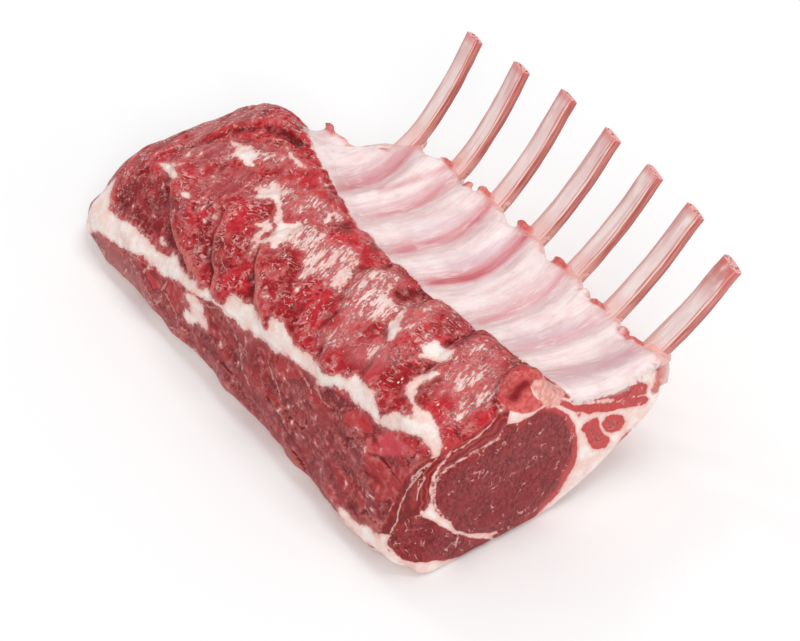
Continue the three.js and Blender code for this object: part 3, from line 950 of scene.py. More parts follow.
def meat_mesh():
    skin = remeshed_skin()
    edges = mesh_edges(skin)
    points = relaxed(mesh_points(skin), edges, 3)
    set_points(skin, points)
    normals = relaxed(mesh_normals(skin), edges, 6)
    normals /= np.linalg.norm(normals, axis=1)[:, None]
    moved, rim_highlights = moved_skin(points, normals, Regions(points, normals))
    set_points(skin, moved)
    areas = Regions(moved, normals)
    on_cut = np.maximum(areas.cut, areas.far_cut)
    muscle = np.maximum.reduce([areas.eye, areas.lower_muscle, areas.plate_lean])
    on_plate = ease(areas.ridge_gap, -0.25, 0.35) * ease(areas.upward, 0.3, 0.7)
    on_plate *= (1 - on_cut) * (1 - ease(areas.knob, -0.5, 0.5))
    # The plate's free edge, where the skin is pink
    edge = stops(moved[:, 0], PLATE_EDGE) + 1.5 * smooth_noise(moved, 6, 211)
    maps = {
        "fat": kept_near(fat_depth(moved, areas)),
        "plate": np.clip(areas.plate, -6, 60),
        "cut": on_cut,
        "side": areas.side,
        # The fronts' lit rims, painted as a highlight
        "rim_highlight": rim_highlights,
        "eye": kept_near(areas.eye),
        "cap": kept_near(areas.cap),
        "island": ease(areas.plate_lean, -0.5, 0.8),
        "streaky": areas.streaky,
        "collar": areas.collar,
        "dull": areas.dull,
        "bright": np.maximum(areas.bright, 0.8 * areas.tag),
        "tag": areas.tag,
        # Painted shade in the pockets under the fronts and in the far hollow
        "dark": np.maximum(areas.pocket, 0.7 * ease(areas.hollow, -0.5, 3.0)),
        "muscle_rim": (1 - ease(muscle, 0.3, 3.8)) * (0.3 + 0.7 * ease(moved[:, 1], -35, -8)),
        "knob": kept_near(areas.knob),
        "panel": areas.panel,
        "gristle": kept_near(areas.patch_depth([GRISTLE])),
        # Rose furrows are pink tissue deepened with painted shade; the crests are white skin over the bone
        # with painted light
        "furrow": areas.furrow,
        "crest": areas.crest,
        # Painted shade in the knob's hollow
        "knob_hollow_shade": bell(areas.knob_reach, KNOB_HOLLOW),
        # Painted lilac shade on the plate
        "lilac": areas.lilac,
        "plate_share": on_plate,
        "plate_edge": ease(moved[:, 1], edge - 7, edge + 1),
        # Painted shade in hollows and painted highlight on bumps follow this
        "relief_shading": relief_shading_share(moved, normals, edges),
    }
    for name, values in maps.items():
        store(skin, name, values)
    for name, gap in (("fascia", areas.fascia), ("thin_seam", areas.thin_seam), ("ridge", areas.ridge_gap)):
        off_ridge = 4 * (1 - areas.upward * (1 - on_cut)) if name == "ridge" else 0
        store(skin, name, kept_near(gap, 4))
        store(skin, name + "_reach", np.clip(np.abs(gap), 0, 4) + off_ridge)
    store_places(skin, "top_grain", grain_places(moved, TOP_GRAIN, (0, 0, 1)))
    store_places(skin, "side_grain", grain_places(moved, SIDE_GRAIN, (0, 1, 0)))
    along_ribs = [moved[:, 1], areas.phase * RIB_PITCH, moved[:, 2] * 0.3]
    store_places(skin, "plate_grain", np.stack(along_ribs, axis=1))
    return skin


def tint(red, green, blue):
    """A linear colour from 0-255 values as a picture shows them."""
    def linear(value):
        value /= 255
        return value / 12.92 if value <= 0.04045 else ((value + 0.055) / 1.055) ** 2.4
    return (linear(red), linear(green), linear(blue), 1.0)


class Graph:
    """A short way to write a material's nodes. Colours are 0-255 values or another colour's socket."""

    def __init__(self, name):
        self.material = bpy.data.materials.new(name)
        self.material.use_nodes = True
        self.tree = self.material.node_tree
        self.shader = self.tree.nodes["Principled BSDF"]

    def feed(self, socket, value):
        if isinstance(value, bpy.types.NodeSocket):
            self.tree.links.new(value, socket)
        else:
            socket.default_value = value

    def node(self, kind, inputs=(), output=0, **settings):
        """One output of a new node, with its settings made and its inputs fed by name or number."""
        node = self.tree.nodes.new(kind)
        for name, value in settings.items():
            setattr(node, name, value)
        for socket, value in dict(inputs).items():
            self.feed(node.inputs[socket], value)
        return node.outputs[output]

    def value(self, name):
        return self.node("ShaderNodeAttribute", output="Fac", attribute_name=name)

    def places(self, name):
        return self.node("ShaderNodeAttribute", output="Vector", attribute_name=name)

    def object_mm(self):
        return self.scaled(self.node("ShaderNodeTexCoord", output="Object"), (1000, 1000, 1000))

    def vectors(self, operation, first, second):
        return self.node("ShaderNodeVectorMath", {0: first, 1: second}, operation=operation)

    def scaled(self, vector, scale):
        return self.vectors("MULTIPLY", vector, scale)

    def noise(self, vector, grain, detail=2.0, roughness=0.5, output="Fac"):
        inputs = {"Vector": vector, "Scale": 1 / grain, "Detail": detail, "Roughness": roughness}
        return self.node("ShaderNodeTexNoise", inputs, output)

    def bent(self, vector, grain, reach):
        """The same places, pushed about by a noise."""
        centred = self.vectors("SUBTRACT", self.noise(vector, grain, output="Color"), (0.5, 0.5, 0.5))
        return self.vectors("ADD", vector, self.scaled(centred, (2 * reach, 2 * reach, 2 * reach)))

    def dots(self, vector, grain):
        """Distance to the nearest of some scattered places."""
        inputs = {"Vector": vector, "Scale": 1 / grain}
        return self.node("ShaderNodeTexVoronoi", inputs, "Distance", feature="F1")

    def math(self, operation, first, second=0.0, third=0.0):
        return self.node("ShaderNodeMath", {0: first, 1: second, 2: third}, operation=operation)

    def product(self, first, *others):
        for other in others:
            first = self.math("MULTIPLY", first, other)
        return first

    def window(self, value, low, high, start=0.0, end=1.0):
        """A soft step from start to end while the value goes from low to high."""
        inputs = {"Value": value, "From Min": low, "From Max": high, "To Min": start, "To Max": end}
        return self.node("ShaderNodeMapRange", inputs, "Result", interpolation_type="SMOOTHSTEP")

    def roughened(self, name, noise, spread):
        """A stored value, moved up and down by a noise so that its edge is uneven."""
        return self.math("ADD", self.value(name), self.window(noise, 0.3, 0.7, -spread, spread))

    def mixed(self, share, first, second):
        """A number that goes from the first to the second value."""
        return self.math("MULTIPLY_ADD", share, self.math("SUBTRACT", second, first), first)

    def between(self, share, first, second):
        """Places that go from the first to the second."""
        gap = self.vectors("SUBTRACT", second, first)
        part = self.node("ShaderNodeVectorMath", {0: gap, "Scale": share}, operation="SCALE")
        return self.vectors("ADD", first, part)

    def colour(self, shade):
        return tint(*shade) if isinstance(shade, tuple) else shade

    def layers(self, colour, *rows):
        """Layers over a colour, each as (share, strength, shade) or (value, low, high, strength, shade)."""
        colour = self.colour(colour)
        for value, *limits, strength, shade in rows:
            if limits:
                value = self.window(value, *limits, 0.0, strength)
            elif strength != 1.0:
                value = self.product(value, strength)
            inputs = {0: value, 6: colour, 7: self.colour(shade)}
            colour = self.node("ShaderNodeMix", inputs, 2, data_type="RGBA")
        return colour

    def bump(self, height, depth_mm, strength):
        inputs = {"Height": height, "Distance": depth_mm * METRES, "Strength": strength}
        normal = self.node("ShaderNodeBump", inputs)
        for name in ("Normal", "Coat Normal"):
            self.feed(self.shader.inputs[name], normal)

    def surface(self, **values):
        for name, value in values.items():
            self.feed(self.shader.inputs[name.replace("_", " ")], value)


def drawn_line(graph, name, width_mm, uneven):
    """A thin broken line along a stored signed distance."""
    gap = graph.math("ADD", graph.math("ABSOLUTE", graph.value(name)), uneven)
    whole = graph.window(gap, 0.5 * width_mm + 0.1, 0.5 * width_mm - 0.1)
    return graph.product(whole, graph.window(graph.value(name + "_reach"), 1.1, 0.8))


def strands(graph, places, grain, width_mm):
    """Thin wavy lines of a given width, where a noise passes its middle value."""
    waves = graph.noise(places, grain, 1.0)
    half = 0.5 * width_mm / grain
    return graph.window(graph.math("ABSOLUTE", graph.math("SUBTRACT", waves, 0.5)), half, half * 0.3)


def curls(graph, places, grain, width_mm):
    """Thin wavy pale lines painted as highlights, each with a dark line of painted shadow along one side of
    it.
    """
    waves = graph.noise(places, grain, 1.0)
    half = 0.5 * width_mm / grain
    light = graph.math("ABSOLUTE", graph.math("SUBTRACT", waves, 0.5))
    dark = graph.math("ABSOLUTE", graph.math("SUBTRACT", waves, 0.5 - 2.6 * half))
    return graph.window(light, half, half * 0.3), graph.window(dark, half * 2.0, half * 0.4)


def fibre_pattern(graph, grain):
    """Fine fibres along the grain, and thin pale curls over them, partly fascia and partly painted wet
    highlights, each with a painted shadow beside it.
    """
    bent = graph.bent(graph.scaled(grain, (0.4, 1, 1)), 3.0, 1.0)
    fibres = graph.noise(bent, 0.95, 4.0, 0.66)
    patchy = graph.window(graph.noise(grain, 7.0), 0.47, 0.62, 0.1, 1.0)
    lace_glints, lace_shadow = curls(graph, graph.bent(graph.scaled(grain, (1, 0.38, 0.6)), 2.6, 0.9), 1.6, 0.26)
    broken = graph.window(graph.noise(grain, 1.7, 1.0), 0.40, 0.56)
    other = graph.window(graph.noise(graph.scaled(grain, (1, 1, 1.3)), 5.0, 1.0), 0.52, 0.64)
    wisp_glints, wisp_shadow = curls(graph, graph.bent(grain, 2.4, 1.0), 1.8, 0.24)
    lace_glints = graph.math("MAXIMUM", graph.product(lace_glints, broken, patchy), graph.product(wisp_glints, other))
    shadow = graph.product(lace_shadow, graph.math("MAXIMUM", patchy, 0.35))
    shadow = graph.math("MAXIMUM", shadow, graph.product(wisp_shadow, other, 0.8))
    return fibres, lace_glints, shadow


def lean_colour(graph, grain, relief_shading, fibres, lace_glints, shadow):
    """Raw lean: dark and bright red in soft clouds, with pale fibres, wavy pale strands that are partly fine
    fascia and partly painted wet highlights, painted shadow beside them, specks painted as glints, and
    painted shade in hollows with painted highlight on bumps.
    """
    clouds = graph.noise(graph.scaled(grain, (0.5, 1, 1)), 10.0, 3.0, 0.55)
    smear = graph.noise(graph.bent(graph.scaled(grain, (0.3, 1, 1)), 6.0, 1.5), 4.0, 2.0, 0.55)
    glint_specks = graph.window(graph.dots(graph.scaled(grain, (0.6, 1, 1)), 2.2), 0.20, 0.11)
    glint_speck_area = graph.window(graph.noise(grain, 4.0, 1.0), 0.50, 0.60)
    return graph.layers(
        (160, 4, 18),
        (clouds, 0.36, 0.64, 1.0, (208, 26, 42)),
        (fibres, 0.55, 0.72, 0.4, (216, 66, 76)),
        (fibres, 0.47, 0.32, 0.6, (122, 2, 12)),
        (smear, 0.60, 0.78, 0.5, (220, 100, 104)),
        # Painted shadow beside the curls, then the curls and specks as painted wet highlights
        (shadow, 0.45, (112, 2, 12)),
        (lace_glints, 0.8, (250, 184, 178)),
        (graph.product(glint_specks, glint_speck_area), 1.0, (252, 222, 216)),
        # Painted shade in hollows and painted highlight on bumps
        (relief_shading, 0.05, 0.7, 0.75, (108, 4, 14)),
        (relief_shading, -0.15, -0.8, 0.4, (222, 88, 88)),
    )


def side_colour(graph, grain, place, fibres, lace_glints, shadow, relief_shading):
    """The side: duller and browner, in bundles, with smooth brighter panels, pale curls that are partly
    fascia and partly painted wet highlights, painted shadow beside them, and painted shade in hollows with
    painted highlight on bumps.
    """
    squeezed = graph.scaled(grain, (0.4, 1, 1))
    slow = graph.noise(graph.bent(squeezed, 8.0, 2.0), 5.0, 3.0, 0.55)
    dry = graph.noise(place, 11.0)
    wet = graph.noise(squeezed, 5.5)
    panel = graph.value("panel")
    smooth = graph.layers(
        (132, 28, 32),
        (panel, 0.3, 1.0, 1.0, (204, 54, 58)),
        (fibres, 0.52, 0.8, 0.4, (220, 110, 104)),
    )
    return graph.layers(
        (136, 24, 30),
        (slow, 0.36, 0.64, 1.0, (172, 58, 60)),
        (fibres, 0.53, 0.72, 0.5, (200, 94, 90)),
        (fibres, 0.47, 0.32, 0.65, (102, 4, 12)),
        (dry, 0.50, 0.62, 0.4, (152, 66, 76)),
        (wet, 0.54, 0.64, 0.65, (186, 34, 40)),
        # Painted shadow beside the curls, and the curls as painted wet highlights
        (shadow, 0.35, (98, 4, 12)),
        (lace_glints, 0.35, (226, 138, 130)),
        (panel, 0.05, 0.25, 0.85, smooth),
        (graph.value("bright"), 0.8, (238, 78, 94)),
        # Painted shade in hollows and painted highlight on bumps
        (relief_shading, 0.05, 0.8, 0.8, (88, 6, 12)),
        (relief_shading, -0.1, -0.8, 0.45, (216, 110, 102)),
    )


def cut_colour(graph, place):
    """The cut face: fine dark grain in the eye, red-brown layers in the cap."""
    grainy = graph.noise(graph.bent(graph.scaled(place, (1.0, 0.8, 0.45)), 3.0, 0.9), 0.75, 3.0, 0.65)
    clouds = graph.noise(place, 7.0)
    clefts = strands(graph, graph.bent(graph.scaled(place, (1, 0.8, 0.5)), 4.0, 1.5), 5.0, 0.35)
    island = graph.layers((178, 44, 48), (grainy, 0.36, 0.66, 1.0, (214, 104, 100)))
    hair = strands(graph, graph.bent(place, 2.0, 1.0), 3.0, 0.26)
    hair_area = graph.window(graph.noise(place, 3.8, 1.0), 0.58, 0.68)
    flecks = graph.window(graph.dots(graph.bent(place, 1.5, 0.6), 2.6), 0.16, 0.09)
    fleck_area = graph.window(graph.noise(place, 3.0, 1.0), 0.56, 0.66)
    pale = graph.math("MAXIMUM", graph.product(hair, hair_area), graph.product(flecks, fleck_area))
    muscle = graph.layers(
        (112, 10, 18),
        (grainy, 0.36, 0.66, 1.0, (166, 56, 56)),
        (clouds, 0.42, 0.65, 0.5, (138, 26, 32)),
        (clefts, 0.35, (94, 6, 12)),
        (graph.value("island"), 0.85, island),
        (graph.roughened("muscle_rim", clouds, 0.25), 0.1, 1.0, 0.85, (204, 66, 66)),
        (pale, 0.75, (232, 168, 160)),
    )
    # The cap's layers follow the outline of the eye
    bend = graph.window(graph.noise(place, 9.0, 3.0, 0.6), 0.2, 0.8, -4.0, 4.0)
    bands = graph.math("SINE", graph.math("ADD", graph.product(graph.value("eye"), -3.0), bend))
    thin = graph.product(graph.window(bands, 0.86, 0.99), graph.window(clouds, 0.40, 0.60))
    cap = graph.layers(
        (128, 20, 24),
        (bands, -0.9, 0.9, 1.0, (166, 46, 46)),
        (thin, 0.4, (216, 126, 114)),
        (grainy, 0.52, 0.75, 0.4, (186, 78, 74)),
    )
    return graph.layers(muscle, (graph.value("cap"), -0.3, 0.4, 1.0, cap))


def plate_colour(graph, place, medium, broad):
    """The plate's membrane: pearly white on the swells, partly its own colour and partly painted light, with
    painted lilac shade, and rose in the furrows that is partly tissue and partly painted shade.
    """
    grain = graph.places("plate_grain")
    veil = graph.noise(graph.bent(graph.scaled(grain, (0.14, 1.0, 1.0)), 6.0, 1.0), 2.8)
    wrinkles = graph.noise(graph.bent(graph.scaled(grain, (0.25, 1.0, 1.0)), 4.0, 1.2), 1.1, 3.0, 0.6)
    crest = graph.roughened("crest", veil, -0.15)
    furrow = graph.product(graph.value("furrow"), graph.window(veil, 0.3, 0.65, 0.75, 1.15))
    threads = strands(graph, graph.bent(graph.scaled(grain, (0.12, 1, 1)), 4.0, 1.0), 2.0, 0.25)
    thread_area = graph.window(graph.noise(place, 8.0, 1.0), 0.48, 0.62, 0.0, 0.3)
    return graph.layers(
        (222, 190, 192),
        # Lighter on the swells: white skin over the bone, with painted light on top of it
        (crest, 0.0, 1.0, 1.0, (247, 229, 227)),
        (broad, 0.45, 0.68, 0.35, (226, 192, 190)),
        (veil, 0.54, 0.74, 0.28, (214, 168, 172)),
        (veil, 0.44, 0.28, 0.28, (248, 236, 232)),
        (wrinkles, 0.54, 0.72, 0.3, (210, 164, 168)),
        (wrinkles, 0.46, 0.30, 0.35, (252, 244, 240)),
        # Painted lilac shade
        (graph.value("lilac"), 0.45, (206, 178, 190)),
        # Rose in the furrows: pink tissue deepened with painted shade
        (furrow, 0.04, 0.55, 0.65, (216, 150, 154)),
        (furrow, 0.35, 1.1, 0.85, (192, 84, 96)),
        (graph.roughened("plate_edge", medium, 0.25), 0.25, 1.0, 0.75, (226, 164, 154)),
        (graph.product(threads, thread_area), 1.0, (250, 238, 234)),
    )


def fat_colour(graph, fat_edge, broad, medium, fibres, streaky, thin_streaks):
    """Cream fat, pinker and thinner towards its edges, and streaked over the streaky fields."""
    pinker = graph.product(streaky, graph.window(thin_streaks, 0.50, 0.36, 0.0, 0.8))
    return graph.layers(
        (247, 213, 203),
        (broad, 0.35, 0.66, 1.0, (255, 243, 236)),
        (fat_edge, 1.6, 0.1, 0.6, (232, 158, 148)),
        (fibres, 0.55, 0.75, 0.4, (232, 176, 164)),
        (medium, 0.58, 0.78, 0.4, (232, 176, 166)),
        (thin_streaks, 0.52, 0.70, 0.6, (255, 240, 236)),
        (pinker, 1.0, (234, 156, 154)),
    )


def meat_material():
    graph = Graph("moist_lean_and_fat")
    top_grain = graph.places("top_grain")
    side_grain = graph.places("side_grain")
    place = graph.object_mm()
    relief_shading = graph.value("relief_shading")
    side_share = graph.value("side")
    on_cut = graph.value("cut")
    dull = graph.value("dull")
    streaky = graph.value("streaky")
    fine = graph.noise(place, 0.45, 3.0, 0.6)
    medium = graph.noise(place, 1.8, 3.0, 0.6)
    broad = graph.noise(place, 7.0)
    # One pattern serves both grains, which meet in a narrow band below the fat strip
    grain = graph.between(graph.window(side_share, 0.45, 0.55), top_grain, side_grain)
    fibres, lace_glints, shadow = fibre_pattern(graph, grain)

    lean = graph.layers(
        lean_colour(graph, top_grain, relief_shading, fibres, lace_glints, shadow),
        (dull, 0.5, (190, 88, 94)),
        (graph.value("bright"), 0.55, (200, 32, 44)),
        # Painted shade in the pockets under the fronts and in the far hollow
        (graph.value("dark"), 0.6, (116, 10, 20)),
        # The fronts' rims, painted orange as lit highlights
        (graph.roughened("rim_highlight", medium, 0.3), 0.25, 0.9, 0.75, (230, 126, 112)),
    )
    fascia = drawn_line(graph, "fascia", 0.5, graph.window(medium, 0.3, 0.7, -0.3, 0.6))
    side = graph.layers(
        side_colour(graph, side_grain, place, fibres, lace_glints, shadow, relief_shading),
        (fascia, 0.55, (236, 176, 162)),
        (dull, 0.55, (194, 122, 120)),
    )
    line_break = graph.window(medium, 0.3, 0.7, -0.2, 0.3)
    thin_seam = drawn_line(graph, "thin_seam", 0.6, line_break)
    cut = graph.layers(cut_colour(graph, place), (thin_seam, 0.75, (238, 190, 178)))

    # Fat lies over the flesh: a thin pink veil of it first, then the cream itself
    loose = graph.math("SUBTRACT", 1.0, on_cut)
    thin_streaks = graph.noise(graph.bent(graph.scaled(top_grain, (0.22, 1, 1)), 3.0, 1.2), 0.85, 3.0, 0.66)
    ragged = graph.math("SUBTRACT", graph.mixed(streaky, fibres, thin_streaks), 0.5)
    ragged = graph.product(ragged, graph.window(streaky, 0.0, 0.6, 2.0, 9.0), loose)
    soft_edge = graph.window(loose, 0, 1, 0.4, 0.7)
    uneven = graph.product(graph.window(medium, 0.25, 0.75, -0.5, 0.5), soft_edge)
    fat_edge = graph.math("ADD", graph.value("fat"), graph.math("ADD", ragged, uneven))
    veiled = graph.product(graph.window(fat_edge, -1.6, 0.1, 0.0, 0.6), loose)
    fat_share = graph.window(fat_edge, -0.2, 0.35)
    fat_share = graph.product(fat_share, graph.window(streaky, 0.2, 0.9, 1.0, 0.78))
    ridge_line = drawn_line(graph, "ridge", 0.75, line_break)
    collar = graph.product(graph.value("collar"), graph.window(medium, 0.3, 0.6, 0.25, 0.9))
    knob_red = graph.layers(
        (206, 72, 74),
        (medium, 0.35, 0.66, 1.0, (226, 112, 104)),
        # Painted shade in the knob's creases and in its hollow
        (relief_shading, 0.15, 0.9, 0.6, (160, 30, 36)),
        (graph.value("knob_hollow_shade"), 1.0, (150, 26, 34)),
    )
    colour = graph.layers(
        lean,
        (side_share, 1.0, side),
        (on_cut, 1.0, cut),
        (streaky, 0.6, (230, 124, 128)),
        (veiled, 1.0, (224, 130, 128)),
        (fat_share, 1.0, fat_colour(graph, fat_edge, broad, medium, fibres, streaky, thin_streaks)),
        (
            graph.roughened("gristle", medium, 0.3), -1.6, -0.5, 1.0,
            graph.layers((226, 142, 132), (medium, 0.36, 0.66, 1.0, (242, 190, 178))),
        ),
        (graph.value("plate_share"), 1.0, plate_colour(graph, place, medium, broad)),
        (ridge_line, 0.6, (244, 196, 180)),
        (collar, 1.0, (236, 176, 162)),
        (graph.value("tag"), 0.85, graph.layers((186, 40, 44), (medium, 0.35, 0.65, 1.0, (222, 108, 98)))),
        (graph.roughened("knob", medium, 0.3), -0.2, 0.3, 1.0, knob_red),
    )
    graph.surface(
        Base_Color=colour,
        Roughness=graph.window(fine, 0.3, 0.7, 0.32, 0.5),
        Specular_IOR_Level=0.12,
        Coat_Weight=0.36,
        Coat_Roughness=0.10,
        Coat_IOR=1.4,
        Subsurface_Weight=0.10,
        Subsurface_Radius=(1.0, 0.3, 0.2),
        Subsurface_Scale=0.0018,
    )
    raised = graph.product(lace_glints, graph.window(side_share, 0.0, 1.0, 0.5, 0.25))
    height = graph.math("ADD", fibres, raised)
    height = graph.math("SUBTRACT", height, graph.product(shadow, 0.3))
    height = graph.product(
        height,
        graph.window(fat_share, 0.0, 1.0, 1.0, 0.3),
        graph.window(on_cut, 0.0, 1.0, 1.0, 0.2),
        graph.window(graph.value("plate"), -0.5, 0.5, 1.0, 0.2),
    )
    gritty = graph.window(graph.value("plate"), -0.5, 0.5, 0.3, 0.08)
    graph.bump(graph.math("ADD", height, graph.product(fine, gritty)), 0.75, 1.0)
    return graph.material


def join_rings(built, first, second):
    for step in range(len(first)):
        after = (step + 1) % len(first)
        built.faces.new((first[step], first[after], second[after], second[step]))


def bone_mesh(name, number):
    """A bare rib: a swept bar with rounded corners, a scraped uneven surface and a sawn tip."""
    line = rib_line(name)
    places = np.linspace(0, len(line) - 1, BONE_ROWS)
    centre = np.stack([np.interp(places, range(len(line)), line[:, axis]) for axis in range(3)], axis=1)
    for _ in range(6):
        centre[1:-1] = 0.5 * centre[1:-1] + 0.25 * (centre[2:] + centre[:-2])
    tangent = np.gradient(centre, axis=0)
    tangent /= np.linalg.norm(tangent, axis=1)[:, None]
    arc = np.concatenate([[0], np.cumsum(np.linalg.norm(np.diff(centre, axis=0), axis=1))])
    turns = 2 * math.pi * np.arange(BONE_AROUND) / BONE_AROUND
    flat, tall = (np.sign(wave) * np.abs(wave) ** 0.62 for wave in (np.cos(turns), np.sin(turns)))
    rings = []
    local_places = []
    for row in range(BONE_ROWS):
        share = row / (BONE_ROWS - 1)
        across = unit(np.array([1.0, 0, 0]) - tangent[row][0] * tangent[row])
        inward = np.cross(tangent[row], across)
        flare = 1 + 0.16 * (1 - ease(share, 0.2, 0.42)) + 0.05 * ease(share, 0.85, 1.0)
        girth = 0.5 * RIB_SIZES[number - 1] * (1.06 - 0.12 * share) * (0.93 + 0.05 * flare)
        wide = RIB_WIDTH * girth * flat
        deep = RIB_DEPTH * girth * tall
        slant = TIP_SLANT * RIB_DEPTH * girth * (tall + 1) * ease(share, 0.72, 1.0)
        ring = centre[row] + np.outer(wide, across) + np.outer(deep, inward)
        rings.append(ring - np.outer(slant, tangent[row]))
        local_places.append(np.stack([np.full(BONE_AROUND, arc[row]), wide, deep], axis=1))
    bar = np.concatenate(rings)
    outward = bar - np.repeat(centre, BONE_AROUND, axis=0)
    outward /= np.linalg.norm(outward, axis=1)[:, None]
    bone_run = unit(centre[-1] - centre[0])
    rough = layered_noise(stretched(bar, bone_run, 6.0), 2.2, 300 + number, 3)
    built = bmesh.new()
    verts = [built.verts.new(point) for point in bar + outward * (0.12 * rough[:, None])]
    rows = [verts[start:start + BONE_AROUND] for start in range(0, len(verts), BONE_AROUND)]
    for lower, upper in zip(rows[:-1], rows[1:]):
        join_rings(built, lower, upper)
    cap_bone_end(built, rows[0], -tangent[0], number)
    cap_bone_end(built, rows[-1], tangent[-1], number)
    bmesh.ops.recalc_face_normals(built, faces=built.faces)
    points = np.array([vert.co for vert in built.verts])
    for vert, point in zip(built.verts, points):
        vert.co = Vector((point + BLOCK_ZERO) * METRES)
    mesh = bpy.data.meshes.new(name + "_bare")
    built.to_mesh(mesh)
    built.free()
    run = (points - centre[0]) @ bone_run
    run = run / run.max()
    on_end = np.arange(len(points)) >= len(bar)
    store(mesh, "run", run)
    for key, wave in (("corner", np.cos(turns + math.pi / 4)), ("beside", np.sin(turns + math.pi / 4))):
        store(mesh, key, np.concatenate([np.tile(wave, BONE_ROWS), np.zeros(on_end.sum())]))
    store(mesh, "tip", on_end & (run > 0.5))
    store(mesh, "tip_end", ease(run, 0.93, 1.0))
    grain = np.zeros((len(points), 3))
    grain[:len(bar)] = np.concatenate(local_places)
    store_places(mesh, "grain", grain + 20.0 * number)
    return mesh


def cap_bone_end(built, ring, outward, number):
    """A sawn end: a thin rim around a rough core that lies a little deeper."""
    rim_shares = [0.93, 0.84, 0.66, 0.44, 0.22]
    depths = [0.12, -0.12, -0.30, -0.35, -0.35]
    last = list(ring)
    start = np.array([vert.co for vert in ring])
    centre = start.mean(axis=0)
    for level, (share, depth) in enumerate(zip(rim_shares, depths)):
        points = centre + (start - centre) * share
        pits = smooth_noise(points, 0.9, 400 + number * 7 + level)
        points = points + np.outer(depth + 0.22 * pits * (level > 1), outward)
        fresh = [built.verts.new(point) for point in points]
        join_rings(built, last, fresh)
        last = fresh
    tip = built.verts.new(centre + depths[-1] * outward)
    for step in range(len(ring)):
        built.faces.new((last[step], last[(step + 1) % len(ring)], tip))


def bone_material(redness):
    """Scraped rib: a pale lilac front, an orange and a peach line at the corner painted as highlights, a side
    painted darker as shade, a red tip.
    """
    graph = Graph(f"scraped_rib_{redness:.2f}")
    grain = graph.places("grain")
    place = graph.object_mm()
    along = graph.scaled(grain, (0.04, 1, 1))
    short = graph.scaled(grain, (0.3, 1, 1))
    streak = graph.noise(along, 0.7, 2.0, 0.55)
    wide_streak = graph.noise(along, 1.8)
    cloud = graph.noise(short, 5.0)
    fine = graph.noise(place, 0.5)
    run = graph.value("run")
    corner = graph.value("corner")
    beside = graph.roughened("beside", streak, 0.07)
    # The side away from the light, painted darker as shade and darkest at its far edge
    shaded_side = graph.layers(
        (184, 90, 84),
        (streak, 0.38, 0.62, 1.0, (220, 142, 130)),
        (beside, 0.62, 0.98, 1.0, (150, 54, 54)),
    )
    side_share = graph.product(graph.window(beside, 0.02, 0.16), graph.window(corner, -0.35, -0.05))
    at_corner = graph.window(corner, 0.6, 0.8)
    # An orange and a peach line along the corner, painted as highlights
    orange_highlight = graph.window(graph.math("ABSOLUTE", graph.math("ADD", beside, 0.16)), 0.11, 0.04, 0.0, 0.8)
    peach_highlight = graph.window(graph.math("ABSOLUTE", graph.math("SUBTRACT", beside, 0.06)), 0.12, 0.04, 0.0, 0.9)
    stain_area = graph.window(graph.noise(short, 2.6, 3.0), 0.3, 0.6)
    stain = graph.product(graph.window(run, 0.55, 1.0, 0.0, redness), stain_area)
    pores = graph.dots(place, 1.3)
    colour = graph.layers(
        (245, 222, 219),
        (cloud, 0.38, 0.62, 1.0, (253, 238, 234)),
        (wide_streak, 0.50, 0.66, 0.5, (228, 176, 172)),
        (streak, 0.46, 0.30, 0.5, (252, 238, 234)),
        (side_share, 1.0, shaded_side),
        (graph.product(orange_highlight, at_corner), 1.0, (214, 124, 110)),
        (graph.product(peach_highlight, at_corner), 1.0, (255, 226, 214)),
        (beside, -0.80, -0.97, 0.6, (204, 124, 118)),
        (stain, 1.0, (210, 104, 98)),
        (run, 0.36, 0.24, 0.5, (232, 178, 170)),
        (graph.value("tip_end"), 0.6, (222, 96, 90)),
        (graph.value("tip"), 1.0, graph.layers((140, 24, 30), (pores, 0.15, 0.5, 1.0, (236, 170, 166)))),
    )
    graph.surface(
        Base_Color=colour,
        Roughness=graph.window(fine, 0.3, 0.7, 0.34, 0.5),
        Specular_IOR_Level=0.25,
        Coat_Weight=0.2,
        Coat_Roughness=0.2,
        Subsurface_Weight=0.06,
        Subsurface_Radius=(1.0, 0.5, 0.4),
        Subsurface_Scale=0.0012,
    )
    graph.bump(graph.math("ADD", graph.product(streak, 0.8), graph.product(fine, 0.25)), 0.35, 0.8)
    return graph.material


def build_object():
    skin = meat_mesh()
    piece_from("meat_block", skin, meat_material(), "lean_meat", "meat")
    pale = bone_material(0.35)
    stained = bone_material(0.85)
    for number, name in enumerate(RIB_NODES, 1):
        mesh = bone_mesh(name, number)
        piece_from(f"bare_rib_{number}", mesh, stained if number == 7 else pale, "bone", name)


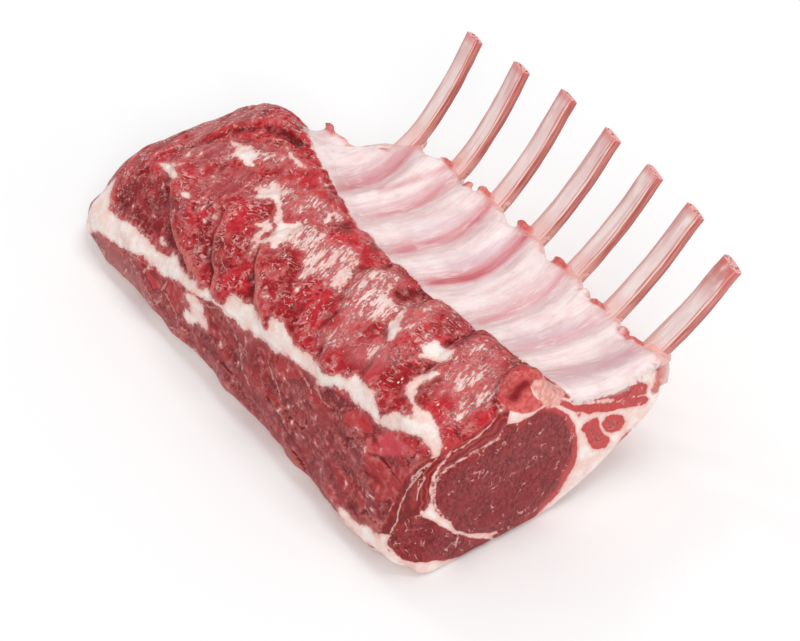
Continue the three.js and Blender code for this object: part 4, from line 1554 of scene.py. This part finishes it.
def build_floor():
    mesh = bpy.data.meshes.new("studio_floor")
    half = 3.0
    corners = [(-half, -half, 0), (half, -half, 0), (half, half, 0), (-half, half, 0)]
    mesh.from_pydata(corners, [], [(0, 1, 2, 3)])
    floor = bpy.data.objects.new("studio_floor", mesh)
    bpy.context.scene.collection.objects.link(floor)
    graph = Graph("white_paper")
    graph.surface(Base_Color=(0.96, 0.96, 0.96, 1.0), Roughness=0.9, Specular_IOR_Level=0.1)
    mesh.materials.append(graph.material)


def area_light(name, place, target_height, width, watts):
    """A round lamp that is aimed at a point above the middle of the floor."""
    lamp = bpy.data.lights.new(name, "AREA")
    lamp.shape = "DISK"
    lamp.size = width
    lamp.energy = watts
    light = bpy.data.objects.new(name, lamp)
    light.location = place
    light.rotation_euler = (Vector((0, 0, target_height)) - Vector(place)).to_track_quat("-Z", "Y").to_euler()
    bpy.context.scene.collection.objects.link(light)


def build_studio():
    world = bpy.data.worlds.new("white_room")
    world.use_nodes = True
    background = world.node_tree.nodes["Background"]
    background.inputs["Color"].default_value = (1, 1, 1, 1)
    background.inputs["Strength"].default_value = 0.54
    bpy.context.scene.world = world
    area_light("overhead_softbox", (0.30, 0.80, 3.0), 0, 1.7, 33.5)
    area_light("front_softbox", (2.3, -1.35, 1.9), 0.03, 1.3, 27.0)
    # Three small bright windows that only add wet glints
    area_light("glint_left", (-0.62, 0.05, 0.80), 0.03, 0.15, 0.6)
    area_light("glint_low", (-0.62, -0.66, 0.46), 0.03, 0.15, 0.25)
    area_light("glint_right", (0.88, 0.25, 0.46), 0.03, 0.09, 0.3)
    bpy.context.scene.view_settings.view_transform = "Standard"


def build_camera():
    lens = bpy.data.cameras.new("photo_camera")
    lens.sensor_width = SENSOR_MM
    lens.lens = LENS_IN_PIXELS * SENSOR_MM / PHOTO_WIDTH
    lens.clip_end = 20
    camera = bpy.data.objects.new("photo_camera", lens)
    camera.location = (CAMERA_DISTANCE * BACK + BLOCK_ZERO) * METRES
    camera.rotation_euler = Vector(-BACK).to_track_quat("-Z", "Y").to_euler()
    bpy.context.scene.collection.objects.link(camera)
    bpy.context.scene.camera = camera


build_camera()
build_object()
build_floor()
build_studio()
